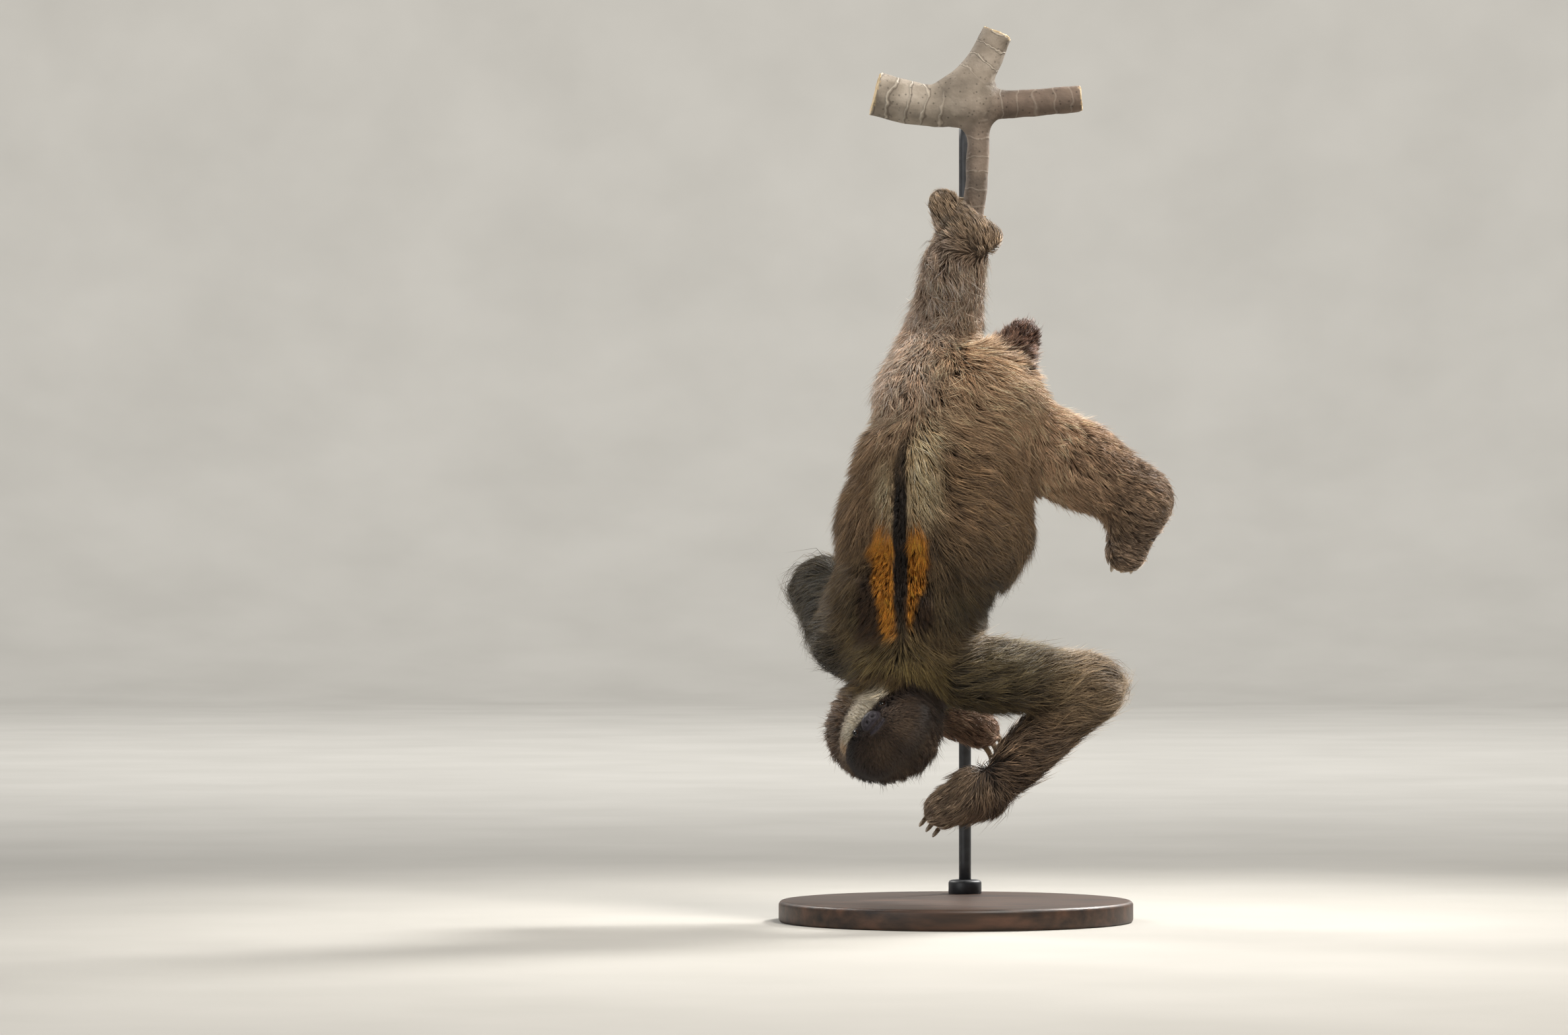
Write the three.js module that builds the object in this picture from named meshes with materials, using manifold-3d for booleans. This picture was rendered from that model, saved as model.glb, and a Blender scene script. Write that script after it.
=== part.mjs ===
// A life-size three-toed sloth hanging head down from one hind foot, on a cut length of branch that a
// plain display stand holds up. Millimetres, +Z up. The origin is the centre of the stand's underside.
// The animal's back faces -Y, and the stand's rod rises behind its belly.
//
// The flesh is one smooth field of tapered bars and eggs that reaches out to the tips of the coat. It is
// meshed part by part and parted by thin cuts. Eyes, nose and claws are pieces of their own.
import * as THREE from "three";
import { mergeVertices } from "three/addons/utils/BufferGeometryUtils.js";
import Module from "manifold-3d";

const wasm = await Module();
wasm.setup();

const vec = (x, y, z) => new THREE.Vector3(x, y, z);
const middleOf = (a, b) => a.clone().lerp(b, 0.5);
const TURN = 2 * Math.PI;

// ---- driving dimensions -------------------------------------------------------------------------
const CUT_GAP = 0.4; // between neighbouring parts of the body
const FIT_GAP = 0.3; // round an eye, the nose, a claw's root and the gripped stem
const BLEND = 20; // how far two bars of flesh melt into each other
const BODY_SHIFT = vec(0, -50, 0); // the animal and its branch hang this far from the stand's own frame

// The skeleton: each joint at the middle of the furred limb.
const SPINE = {
  rump: vec(22, 8, 586),
  loin: vec(-11, 4, 514),
  belly: vec(-24, 6, 448),
  chest: vec(-54, 4, 366),
  withers: vec(-62, 2, 318),
};
const TAIL = { root: vec(56, 16, 626), tip: vec(74, 26, 658) };
const LEG_LEFT = { hip: vec(60, 4, 549), knee: vec(144, 20, 512), ankle: vec(202, 28, 478) };
const LEG_RIGHT = { hip: vec(-36, 10, 590), knee: vec(-14, 40, 668), ankle: vec(-2, -10, 742) };
const FOOT_LEFT = { root: vec(206, 28, 470), heel: vec(218, 30, 481), toe: vec(191, 34, 418) };
const FOOT_RIGHT = { root: vec(10, -25, 768), heel: vec(36, -24, 768), toe: vec(-15, -18, 806) };
const ARM_LEFT = { shoulder: vec(0, 2, 286), elbow: vec(149, 22, 263), wrist: vec(36, 25, 150) };
const ARM_RIGHT = { shoulder: vec(-112, 26, 322), elbow: vec(-146, 165, 372), wrist: vec(-48, 146, 250) };
const HAND_LEFT = { root: vec(18, 25, 146), toe: vec(-14, 28, 128) };
const HAND_RIGHT = { root: vec(-40, 144, 244), toe: vec(30, 122, 214) };

// The head's own frame: out of the nose, to its left ear and to its crown.
const HEAD_AT = vec(-79, -16, 214);
const FORWARD = vec(-0.41, -0.84, 0.354).normalize();
const LEFT = new THREE.Vector3().crossVectors(vec(-0.64, 0.545, 0.546), FORWARD).normalize();
const CROWN = new THREE.Vector3().crossVectors(FORWARD, LEFT);

const EYE = { radius: 5.6, side: 20.5, up: 1, sunk: 3, sides: 9, rings: 6 };
const NOSE = { radii: vec(6, 12, 7.5), up: -4.5, sunk: 1.5, sides: 10, rings: 7 };

// A claw is an arc of this length; high and wide are half its section at the root.
const CLAW = { length: 56, high: 3.8, wide: 2.7, tip: 0.8, taper: 0.7, sides: 5, steps: 5 };

// The branch, gripped by its hanging stem.
const FORK = { at: vec(10, 8, 925), radius: 26, sides: 10, rings: 6 };
const LIMB_LEFT = {
  points: [vec(-92, 4, 931), vec(-50, 6, 921), vec(-10, 8, 917), vec(20, 8, 924)],
  start: 25,
  end: 22,
  steps: 5,
};
const LIMB_RIGHT = { points: [vec(18, 8, 918), vec(70, 8, 920), vec(140, 6, 926)], start: 16, end: 14.5, steps: 4 };
const LIMB_UP = { points: [vec(0, 8, 930), vec(26, 10, 960), vec(46, 12, 1000)], start: 22, end: 17, steps: 4 };
const STEM = {
  points: [vec(24, 8, 905), vec(24, 8, 870), vec(22, 8, 830), vec(16, 9, 776)],
  start: 13,
  end: 12,
  steps: 6,
};
const BRANCH_SIDES = 8;

const BASE = { radius: 200, height: 24, chamfer: 5, sides: 36 };
const ROD = { radius: 7, x: 14, y: 146, sides: 14 };
const COLLAR = { radius: 19, height: 16, segments: 8 };
const ELBOW = { radius: 11, sides: 10, rings: 6 };

// The size of the facets.
const TRUNK_CELL = 26;
const LIMB_CELL = 22;
const HEAD_CELL = 14;
const PAW_CELL = 14.5;
const TAIL_CELL = 12;

// ---- the field of flesh -------------------------------------------------------------------------

/** A point in the head's frame, as a point of the body. */
const inHead = (ahead, left, up) =>
  HEAD_AT.clone().addScaledVector(FORWARD, ahead).addScaledVector(LEFT, left).addScaledVector(CROWN, up);

/** The distance to a bar from a to b, whose radius runs from ra to rb. */
function bar(a, b, ra, rb) {
  const along = new THREE.Vector3().subVectors(b, a);
  const square = along.lengthSq();
  const p = vec(0, 0, 0);
  return (q) => {
    p.subVectors(q, a);
    const t = THREE.MathUtils.clamp(p.dot(along) / square, 0, 1);
    return p.addScaledVector(along, -t).length() - THREE.MathUtils.lerp(ra, rb, t);
  };
}

const SQUARE = [vec(1, 0, 0), vec(0, 1, 0), vec(0, 0, 1)];

/** The distance, near its surface, to an egg with these radii along three square axes. */
function egg(centre, radii, axes = SQUARE) {
  const p = vec(0, 0, 0);
  return (q) => {
    p.subVectors(q, centre);
    const [x, y, z] = axes.map((axis) => p.dot(axis));
    const unit = Math.hypot(x / radii.x, y / radii.y, z / radii.z);
    const slope = Math.hypot(x / radii.x ** 2, y / radii.y ** 2, z / radii.z ** 2);
    return unit < 0.01 ? -Math.min(radii.x, radii.y, radii.z) : (unit * (unit - 1)) / slope;
  };
}

/** An egg of the head: its centre and radii ahead, left and up. */
const headEgg = (centre, radii) => egg(inHead(...centre), vec(...radii), [FORWARD, LEFT, CROWN]);

/** Two distances joined with a rounded fillet. */
function melt(a, b) {
  const h = Math.max(BLEND - Math.abs(a - b), 0) / BLEND;
  return Math.min(a, b) - (h * h * BLEND) / 4;
}

/** A limb's part: one bar between two joints. */
const segment = (a, b, ra, rb) => ({ flesh: [bar(a, b, ra, rb)], spans: [a, b], cell: LIMB_CELL });

/** A hand or a foot: a bar to the toes, and for a foot one to the heel. */
function paw({ root, toe, heel }, rootRadius, toeRadius, heelRoot, heelRadius) {
  const flesh = [bar(root, toe, rootRadius, toeRadius)];
  if (heel) flesh.push(bar(root, heel, heelRoot, heelRadius));
  return { flesh, spans: heel ? [root, heel, toe] : [root, toe], cell: PAW_CELL };
}

// Each part: its bars and eggs, the points it spans, the size of its facets and a point well inside it.
const PARTS = {
  trunk: {
    flesh: [
      egg(SPINE.rump, vec(84, 76, 76)),
      egg(SPINE.loin, vec(110, 86, 88)),
      egg(SPINE.belly, vec(118, 92, 104)),
      egg(SPINE.chest, vec(96, 80, 92)),
    ],
    spans: [...Object.values(SPINE), LEG_LEFT.hip, LEG_RIGHT.hip, ARM_LEFT.shoulder, ARM_RIGHT.shoulder],
    cell: TRUNK_CELL,
    seed: SPINE.belly,
  },
  neck: segment(SPINE.withers, inHead(-22, 8, -4), 68, 50),
  head: {
    flesh: [
      headEgg([-12, -1, 17], [58, 66, 66]),
      headEgg([18, 0, -8], [32, 47, 40]),
      headEgg([20, 30, -20], [24, 22, 27]),
      headEgg([20, -30, -20], [24, 22, 27]),
      headEgg([38, 0, -13], [21, 21, 16]),
      headEgg([22, 0, -30], [24, 27, 20]),
    ],
    spans: [HEAD_AT],
    cell: HEAD_CELL,
    seed: inHead(10, 0, 0),
  },
  tail: { flesh: [bar(TAIL.root, TAIL.tip, 34, 23.5)], spans: Object.values(TAIL), cell: TAIL_CELL, seed: TAIL.tip },
  thigh_left: segment(LEG_LEFT.hip, LEG_LEFT.knee, 60, 46),
  shank_left: segment(LEG_LEFT.knee, LEG_LEFT.ankle, 46, 39),
  foot_left: paw(FOOT_LEFT, 33, 25, 27, 15),
  thigh_right: segment(LEG_RIGHT.hip, LEG_RIGHT.knee, 64, 44),
  shank_right: segment(LEG_RIGHT.knee, LEG_RIGHT.ankle, 43, 39),
  foot_right: paw(FOOT_RIGHT, 29, 19, 26, 16),
  upper_arm_left: segment(ARM_LEFT.shoulder, ARM_LEFT.elbow, 51, 39),
  forearm_left: segment(ARM_LEFT.elbow, ARM_LEFT.wrist, 39, 32),
  hand_left: paw(HAND_LEFT, 30, 24),
  upper_arm_right: segment(ARM_RIGHT.shoulder, ARM_RIGHT.elbow, 58, 42),
  forearm_right: segment(ARM_RIGHT.elbow, ARM_RIGHT.wrist, 40, 31),
  hand_right: paw(HAND_RIGHT, 28, 23),
};

/** The way a cut faces when it halves the bend of a joint, from the first bone to the second. */
function halving({ hip, knee, ankle, shoulder, elbow, wrist }) {
  const [start, joint, end] = hip ? [hip, knee, ankle] : [shoulder, elbow, wrist];
  return end.clone().sub(joint).normalize().sub(start.clone().sub(joint).normalize());
}

// Each row parts two neighbours with a plane: a point of it inside the flesh, and the way it faces.
const HIP_CUT = { left: vec(108, 14, 530), right: vec(-28, 22, 634) };
const KNEE_CUT_RIGHT = vec(-10, 34, 688);
const SHOULDER_CUT_RIGHT = vec(-127, 88, 344);
const CUTS = [
  ["trunk", "neck", vec(-66, 4, 276), vec(-0.2, -0.34, -0.92)],
  ["neck", "head", vec(-74, 2, 246), vec(-0.2, -0.5, -0.85)],
  ["trunk", "tail", vec(68, 22, 648), TAIL.tip.clone().sub(TAIL.root)],
  ["trunk", "thigh_left", HIP_CUT.left, vec(1, 0.1, -0.1)],
  ["thigh_left", "shank_left", LEG_LEFT.knee, halving(LEG_LEFT)],
  ["shank_left", "foot_left", vec(201, 28, 481), vec(0.3, 0, -0.95)],
  ["trunk", "thigh_right", HIP_CUT.right, vec(-0.43, 0.1, 0.9)],
  ["thigh_right", "shank_right", KNEE_CUT_RIGHT, vec(-0.1, -0.35, 1)],
  ["shank_right", "foot_right", vec(0, -14, 748), vec(0.2, -0.35, 1)],
  ["trunk", "upper_arm_left", vec(30, 7, 281), vec(0.95, 0.05, -0.3)],
  ["upper_arm_left", "forearm_left", ARM_LEFT.elbow, halving(ARM_LEFT)],
  ["forearm_left", "hand_left", ARM_LEFT.wrist, vec(-0.75, 0.05, -0.6)],
  ["trunk", "upper_arm_right", SHOULDER_CUT_RIGHT, vec(-0.31, 0.95, 0.1)],
  ["upper_arm_right", "forearm_right", ARM_RIGHT.elbow, halving(ARM_RIGHT)],
  ["forearm_right", "hand_right", ARM_RIGHT.wrist, vec(0.85, -0.3, -0.45)],
];
PARTS.thigh_left.seed = middleOf(LEG_LEFT.knee, HIP_CUT.left);
PARTS.thigh_right.seed = middleOf(KNEE_CUT_RIGHT, HIP_CUT.right);
PARTS.upper_arm_right.seed = middleOf(SHOULDER_CUT_RIGHT, ARM_RIGHT.elbow);
PARTS.hand_left.seed = HAND_LEFT.toe;
PARTS.hand_right.seed = HAND_RIGHT.toe;

const CUT = { clearance: 9, reach: 190, rays: 20 }; // a cut's edge: how far past the flesh, in how many rays

/** The distance to a part and its neighbours, melted together. */
function fieldOf(name) {
  const near = CUTS.filter((cut) => cut.includes(name)).map(([a, b]) => (a === name ? b : a));
  const flesh = [name, ...near].flatMap((part) => PARTS[part].flesh);
  return (p) => flesh.map((distance) => distance(p)).reduce(melt);
}

// ---- the mesher ---------------------------------------------------------------------------------

/** The eight corners of a unit cell, corner m at its bits' place. */
const CORNERS = Array.from({ length: 8 }, (_, m) => vec(m & 1, (m >> 1) & 1, (m >> 2) & 1));

/** Where the edges of a cell cross the surface, in cell units. */
function crossingsOf(values) {
  const found = [];
  for (let m = 0; m < 8; m++)
    for (let axis = 0; axis < 3; axis++) {
      const n = m | (1 << axis);
      const [a, b] = [values[m], values[n]];
      if (n !== m && a < 0 !== b < 0) found.push(CORNERS[m].clone().lerp(CORNERS[n], a / (a - b)));
    }
  return found;
}

/** Moves a point onto the surface along the field's slope. */
function settle(point, field, most) {
  const step = 0.5;
  for (let round = 0; round < 2; round++) {
    const here = field(point);
    const slope = vec(...SQUARE.map((axis) => field(point.clone().addScaledVector(axis, step)) - here));
    slope.divideScalar(step);
    const move = -here / Math.max(slope.lengthSq(), 0.2);
    point.addScaledVector(slope, THREE.MathUtils.clamp(move, -most, most));
  }
  return point;
}

/**
 * The surface where a field is zero inside a box, as one closed skin: one point in each cell that the
 * surface crosses, and one four-sided face round each crossed grid edge.
 */
function skinOf(field, box, cell) {
  const [nx, ny, nz] = box.getSize(vec(0, 0, 0)).toArray().map((length) => Math.ceil(length / cell) + 1);
  const steps = [1, nx, nx * ny];
  const id = (i, j, k) => i + j * nx + k * nx * ny;
  const onRim = (i, j, k) => !i || !j || !k || i === nx - 1 || j === ny - 1 || k === nz - 1;
  const inner = box.clone().expandByScalar(-1.6 * cell);
  const values = new Float64Array(nx * ny * nz);
  const eachNode = (last, visit) => {
    for (let k = 0; k < nz - last; k++)
      for (let j = 0; j < ny - last; j++) for (let i = 0; i < nx - last; i++) visit(i, j, k);
  };
  const place = (p) => p.multiplyScalar(cell).add(box.min);
  eachNode(0, (i, j, k) => {
    values[id(i, j, k)] = onRim(i, j, k) ? cell : field(place(vec(i, j, k)));
  });
  const points = [];
  const pointOf = new Map();
  eachNode(1, (i, j, k) => {
    const found = crossingsOf(CORNERS.map((c) => values[id(i + c.x, j + c.y, k + c.z)]));
    if (!found.length) return;
    const middle = found.reduce((sum, p) => sum.add(p), vec(0, 0, 0)).divideScalar(found.length);
    const point = place(middle.add(vec(i, j, k)));
    pointOf.set(id(i, j, k), points.length);
    points.push(inner.containsPoint(point) ? settle(point, field, cell / 2) : point);
  });
  const faces = [];
  eachNode(1, (i, j, k) => {
    const here = id(i, j, k);
    const inside = values[here] < 0;
    for (let axis = 0; axis < 3; axis++) {
      if (inside === values[here + steps[axis]] < 0) continue;
      const [u, v] = [steps[(axis + 1) % 3], steps[(axis + 2) % 3]];
      const ring = [here - u - v, here - v, here, here - u].map((cellId) => pointOf.get(cellId));
      const [a, b, c, d] = inside ? ring : ring.reverse();
      const short = points[a].distanceToSquared(points[c]) < points[b].distanceToSquared(points[d]);
      faces.push(...(short ? [a, b, c, a, c, d] : [a, b, d, b, c, d]));
    }
  });
  return new THREE.BufferGeometry().setFromPoints(points).setIndex(faces);
}

// ---- solids -------------------------------------------------------------------------------------

/** A three.js geometry as a manifold-3d solid. */
function solidOf(geometry) {
  const bare = new THREE.BufferGeometry().setAttribute("position", geometry.getAttribute("position").clone());
  const merged = mergeVertices(bare.setIndex(geometry.index), 1e-4);
  return new wasm.Manifold(
    new wasm.Mesh({
      numProp: 3,
      vertProperties: new Float32Array(merged.attributes.position.array),
      triVerts: new Uint32Array(merged.index.array),
    }),
  );
}

/** A manifold-3d solid as a three.js geometry. */
function geometryOf(solid) {
  const mesh = solid.getMesh();
  return new THREE.BufferGeometry()
    .setAttribute("position", new THREE.BufferAttribute(new Float32Array(mesh.vertProperties), 3))
    .setIndex(new THREE.BufferAttribute(new Uint32Array(mesh.triVerts), 1));
}

const largestOf = (solid) => solid.decompose().sort((a, b) => b.volume() - a.volume())[0];

/** A ring of points: an oval round a centre with two half-widths along two axes. */
const ovalRing = (centre, right, high, rightRadius, highRadius, sides) =>
  Array.from({ length: sides }, (_, i) =>
    centre
      .clone()
      .addScaledVector(right, rightRadius * Math.cos((TURN * i) / sides))
      .addScaledVector(high, highRadius * Math.sin((TURN * i) / sides)),
  );

/** A closed skin over rings of points, each ring with the same count, its ends capped. */
function loft(rings) {
  const sides = rings[0].length;
  const middle = (ring) => ring.reduce((sum, p) => sum.add(p), vec(0, 0, 0)).divideScalar(sides);
  const points = [...rings.flat(), middle(rings[0]), middle(rings.at(-1))];
  const [first, last] = [points.length - 2, points.length - 1];
  const lastRing = (rings.length - 1) * sides;
  const faces = [];
  for (let j = 0; j < sides; j++) {
    const next = (j + 1) % sides;
    faces.push(first, next, j, last, lastRing + j, lastRing + next);
    for (let a = j, b = next; a < lastRing; a += sides, b += sides)
      faces.push(a, b, a + sides, b, b + sides, a + sides);
  }
  return new THREE.BufferGeometry().setFromPoints(points).setIndex(faces);
}

/** A thin plate across the flesh at a cut, shaped to the section there and a little wider. */
function cutPlate([first, second, at, facing]) {
  const [one, other] = [fieldOf(first), fieldOf(second)];
  const normal = facing.clone().normalize();
  const right = new THREE.Vector3().crossVectors(normal, vec(0.3, 1, 0.2)).normalize();
  const high = new THREE.Vector3().crossVectors(normal, right);
  const outline = Array.from({ length: CUT.rays }, (_, i) => {
    const ray = new THREE.Vector2(1, 0).rotateAround(new THREE.Vector2(), (TURN * i) / CUT.rays);
    const way = right.clone().multiplyScalar(ray.x).addScaledVector(high, ray.y);
    const p = at.clone();
    let reach = 0;
    while (reach < CUT.reach && Math.min(one(p), other(p)) < CUT.clearance) {
      p.add(way);
      reach += 1;
    }
    return ray.multiplyScalar(reach);
  });
  const plate = new THREE.ExtrudeGeometry(new THREE.Shape(outline), { depth: CUT_GAP, bevelEnabled: false });
  const turned = new THREE.Matrix4().makeBasis(right, high, normal).setPosition(at);
  return solidOf(plate.translate(0, 0, -CUT_GAP / 2).applyMatrix4(turned));
}

const PLATES = CUTS.map((cut) => ({ between: cut.slice(0, 2), plate: cutPlate(cut) }));

/** The body part of that name: the flesh round it, cut free of its neighbours. */
function fleshSolid(name) {
  const { spans, cell, seed = middleOf(spans[0], spans.at(-1)) } = PARTS[name];
  const margin = name === "trunk" || name === "head" ? 110 : 80;
  const box = new THREE.Box3().setFromPoints(spans).expandByScalar(margin);
  const whole = solidOf(skinOf(fieldOf(name), box, cell));
  const cut = PLATES.filter(({ between }) => between.includes(name)).reduce(
    (solid, { plate }) => solid.subtract(plate),
    whole,
  );
  const probe = solidOf(new THREE.SphereGeometry(3, 8, 6).translate(...seed));
  return cut.decompose().find((piece) => piece.intersect(probe).volume() > 0);
}

// ---- eyes, nose and claws -----------------------------------------------------------------------

/** The point of the face straight ahead of a place in the head, sunk a little below its surface. */
function onFace(left, up, sunk) {
  const face = fieldOf("head");
  let [inside, outside] = [0, 120];
  while (outside - inside > 0.01) {
    const ahead = (inside + outside) / 2;
    if (face(inHead(ahead, left, up)) < 0) inside = ahead;
    else outside = ahead;
  }
  return inHead(inside - sunk, left, up);
}

/** An eyeball, side 1 for the left and -1 for the right; extra widens it for its socket. */
const eyeGeometry = (side, extra = 0) =>
  new THREE.SphereGeometry(EYE.radius + extra, EYE.sides, EYE.rings).translate(
    ...onFace(side * EYE.side, EYE.up, EYE.sunk),
  );

/** The nose pad: an egg across the end of the muzzle. */
const noseGeometry = (extra = 0) =>
  new THREE.SphereGeometry(1, NOSE.sides, NOSE.rings)
    .scale(...NOSE.radii.clone().addScalar(extra))
    .applyMatrix4(new THREE.Matrix4().makeBasis(FORWARD, LEFT, CROWN))
    .translate(...onFace(0, NOSE.up, NOSE.sunk));

// The claws of each paw: where the middle one leaves, which way, towards which palm, the row the three
// stand in and how far apart, and the angle each turns through.
const CLAWS = {
  hand_left: {
    at: vec(-28, 35, 110),
    ahead: vec(-0.36, 0.76, -0.54),
    palm: vec(0.5, 0.5, 0.7),
    row: vec(0.78, 0, -0.62),
    spread: 9.5,
    turn: 1.75,
  },
  hand_right: {
    at: vec(40, 126, 203),
    ahead: vec(0.66, 0.25, -0.7),
    palm: vec(-0.45, 0.7, -0.5),
    row: vec(0.6, 0.3, 0.7),
    spread: 10,
    turn: 1.75,
  },
  foot_left: {
    at: vec(188, 42, 404),
    ahead: vec(-0.1, 0.75, -0.65),
    palm: vec(0.2, 0.6, 0.8),
    row: vec(1, 0, -0.1),
    spread: 11,
    turn: 1.75,
  },
  foot_right: {
    at: vec(-8, -4, 804),
    ahead: vec(0, 1, 0),
    palm: vec(1, 0, 0),
    row: vec(-0.15, 0, 0.99),
    spread: 10,
    turn: 2,
  },
};

/** One claw: an arc that leaves the paw and turns towards the palm, narrowing to its tip. */
function clawGeometry({ at, ahead, palm, row, spread, turn }, place, extra = 0) {
  const root = at.clone().addScaledVector(row.clone().normalize(), place * spread);
  const forward = ahead.clone().normalize();
  const inward = palm.clone().addScaledVector(forward, -palm.dot(forward)).normalize();
  const across = new THREE.Vector3().crossVectors(forward, inward);
  const radius = CLAW.length / turn;
  const rings = Array.from({ length: CLAW.steps + 1 }, (_, i) => {
    const t = i / CLAW.steps;
    const angle = turn * t - (i ? 0 : extra / radius);
    const centre = root
      .clone()
      .addScaledVector(forward, radius * Math.sin(angle))
      .addScaledVector(inward, radius * (1 - Math.cos(angle)));
    const high = inward.clone().multiplyScalar(Math.cos(angle)).addScaledVector(forward, -Math.sin(angle));
    const share = (1 - t) ** CLAW.taper;
    const size = (root) => extra + THREE.MathUtils.lerp(CLAW.tip, root, share);
    return ovalRing(centre, high, across, size(CLAW.high), size(CLAW.wide), CLAW.sides);
  });
  return loft(rings);
}

const CLAW_PLACES = [-1, 0, 1];

// ---- perch and stand ----------------------------------------------------------------------------

/** A round tapered limb of the branch; extra widens it. */
function limbSolid({ points, start, end, steps }, extra = 0) {
  const curve = new THREE.CatmullRomCurve3(points);
  const rings = Array.from({ length: steps + 1 }, (_, i) => {
    const t = i / steps;
    const along = curve.getTangentAt(t);
    const right = new THREE.Vector3().crossVectors(vec(0, 1, 0), along).normalize();
    const high = new THREE.Vector3().crossVectors(along, right);
    const radius = extra + THREE.MathUtils.lerp(start, end, t);
    return ovalRing(curve.getPointAt(t), right, high, radius, radius, BRANCH_SIDES);
  });
  return solidOf(loft(rings));
}

/** The cut branch: a fork that carries its left limb, and three shoots parted from it. */
function perchSolids() {
  const fork = (extra) =>
    solidOf(
      new THREE.SphereGeometry(FORK.radius + extra, FORK.sides, FORK.rings).translate(...FORK.at),
    ).add(limbSolid(LIMB_LEFT, extra));
  let taken = fork(FIT_GAP);
  const shoot = (limb) => {
    const free = largestOf(limbSolid(limb).subtract(taken));
    taken = taken.add(limbSolid(limb, FIT_GAP));
    return free;
  };
  return {
    perch_fork: fork(0),
    perch_limb_right: shoot(LIMB_RIGHT),
    perch_limb_up: shoot(LIMB_UP),
    perch_stem: shoot(STEM),
  };
}

/** The stand's chamfered round base. */
function baseGeometry() {
  const { radius, height, chamfer, sides } = BASE;
  const outline = [
    new THREE.Vector2(0, 0),
    new THREE.Vector2(radius, 0),
    new THREE.Vector2(radius, height - chamfer),
    new THREE.Vector2(radius - chamfer, height),
    new THREE.Vector2(0, height),
  ];
  return new THREE.LatheGeometry(outline, sides).rotateX(Math.PI / 2);
}

/** The collar that holds the rod on the base: a short tube. */
function collarGeometry() {
  const ring = new THREE.Shape().absarc(0, 0, COLLAR.radius, 0, TURN);
  ring.holes.push(new THREE.Path().absarc(0, 0, ROD.radius + FIT_GAP, 0, TURN));
  const form = { depth: COLLAR.height, bevelEnabled: false, curveSegments: COLLAR.segments };
  return new THREE.ExtrudeGeometry(ring, form).translate(ROD.x, ROD.y, BASE.height + FIT_GAP);
}

/** The upright rod, the ball that turns the corner and the arm that runs forward to the fork's back. */
function frameGeometries() {
  const armHeight = FORK.at.z;
  const forkBack = FORK.at.y + BODY_SHIFT.y + FORK.radius;
  const rodLength = armHeight - ELBOW.radius - BASE.height - 2 * FIT_GAP;
  const armLength = ROD.y - ELBOW.radius - forkBack - 2 * FIT_GAP;
  const rod = (length) => new THREE.CylinderGeometry(ROD.radius, ROD.radius, length, ROD.sides);
  const ball = new THREE.SphereGeometry(ELBOW.radius, ELBOW.sides, ELBOW.rings).rotateX(Math.PI / 2);
  return {
    stand_rod: rod(rodLength)
      .rotateX(Math.PI / 2)
      .translate(ROD.x, ROD.y, BASE.height + FIT_GAP + rodLength / 2),
    stand_elbow: ball.translate(ROD.x, ROD.y, armHeight),
    stand_arm: rod(armLength).translate(ROD.x, forkBack + FIT_GAP + armLength / 2, armHeight),
  };
}

// ---- assembly -----------------------------------------------------------------------------------

const surface = (color, roughness, metalness = 0) =>
  new THREE.MeshStandardMaterial({ color, roughness, metalness });
const COAT = surface(0x6b5644, 0.95);
const FACE = surface(0x3a2c26, 0.95);
const TAIL_COAT = surface(0x5c3a24, 0.95);
const EYE_GLOSS = surface(0x0d0908, 0.08);
const NOSE_SKIN = surface(0x2a272b, 0.4);
const HORN = surface(0x8c7759, 0.45);
const BARK = surface(0x8d8076, 0.85);
const STEEL = surface(0x2b2b2d, 0.45, 0.8);
const WOOD = surface(0x3b2a20, 0.5);

const model = new THREE.Group();
const body = new THREE.Group();
body.position.copy(BODY_SHIFT);
model.add(body);

/** Adds a named mesh to a group. */
function addNode(group, name, geometry, material) {
  const mesh = new THREE.Mesh(geometry, material);
  mesh.name = name;
  group.add(mesh);
}

/** What sits in a part, widened by the gap round it. */
function socketsOf(name) {
  if (name === "head") return [eyeGeometry(1, FIT_GAP), eyeGeometry(-1, FIT_GAP), noseGeometry(FIT_GAP)];
  return CLAWS[name] ? CLAW_PLACES.map((place) => clawGeometry(CLAWS[name], place, FIT_GAP)) : [];
}

for (const name of Object.keys(PARTS)) {
  const hollows = socketsOf(name).map(solidOf);
  if (name === "foot_right") hollows.push(limbSolid(STEM, FIT_GAP));
  const solid = hollows.reduce((rest, hollow) => rest.subtract(hollow), fleshSolid(name));
  addNode(body, name, geometryOf(largestOf(solid)), { head: FACE, tail: TAIL_COAT }[name] ?? COAT);
}
for (const [pawName, claws] of Object.entries(CLAWS))
  for (const place of CLAW_PLACES)
    addNode(body, `claw_${pawName}_${place + 2}`, clawGeometry(claws, place), HORN);
addNode(body, "eye_left", eyeGeometry(1), EYE_GLOSS);
addNode(body, "eye_right", eyeGeometry(-1), EYE_GLOSS);
addNode(body, "nose", noseGeometry(), NOSE_SKIN);
for (const [name, solid] of Object.entries(perchSolids())) addNode(body, name, geometryOf(solid), BARK);
addNode(model, "stand_base", baseGeometry(), WOOD);
addNode(model, "stand_collar", collarGeometry(), STEEL);
for (const [name, geometry] of Object.entries(frameGeometries())) addNode(model, name, geometry, STEEL);

export default model;
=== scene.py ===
"""A life-size three-toed sloth that hangs head down by one hind foot from a cut branch on a stand.

One skin stands for the furred solids of the frame. It lies inside them by the coat's depth, and a coat
of solid mesh tufts covers it, so that the tips end where the solids do. The flesh is a smooth field of
tapered bars and eggs, and the skin, the lie of the coat and the markings all read that one field.
Lengths in the tables are millimetres in the animal's own frame; everything built is metres.
"""

from __future__ import annotations

import logging
import math
from dataclasses import astuple, dataclass
from enum import Enum
from typing import Callable

import bmesh
import bpy
import numpy as np
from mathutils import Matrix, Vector
from mathutils.kdtree import KDTree

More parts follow.
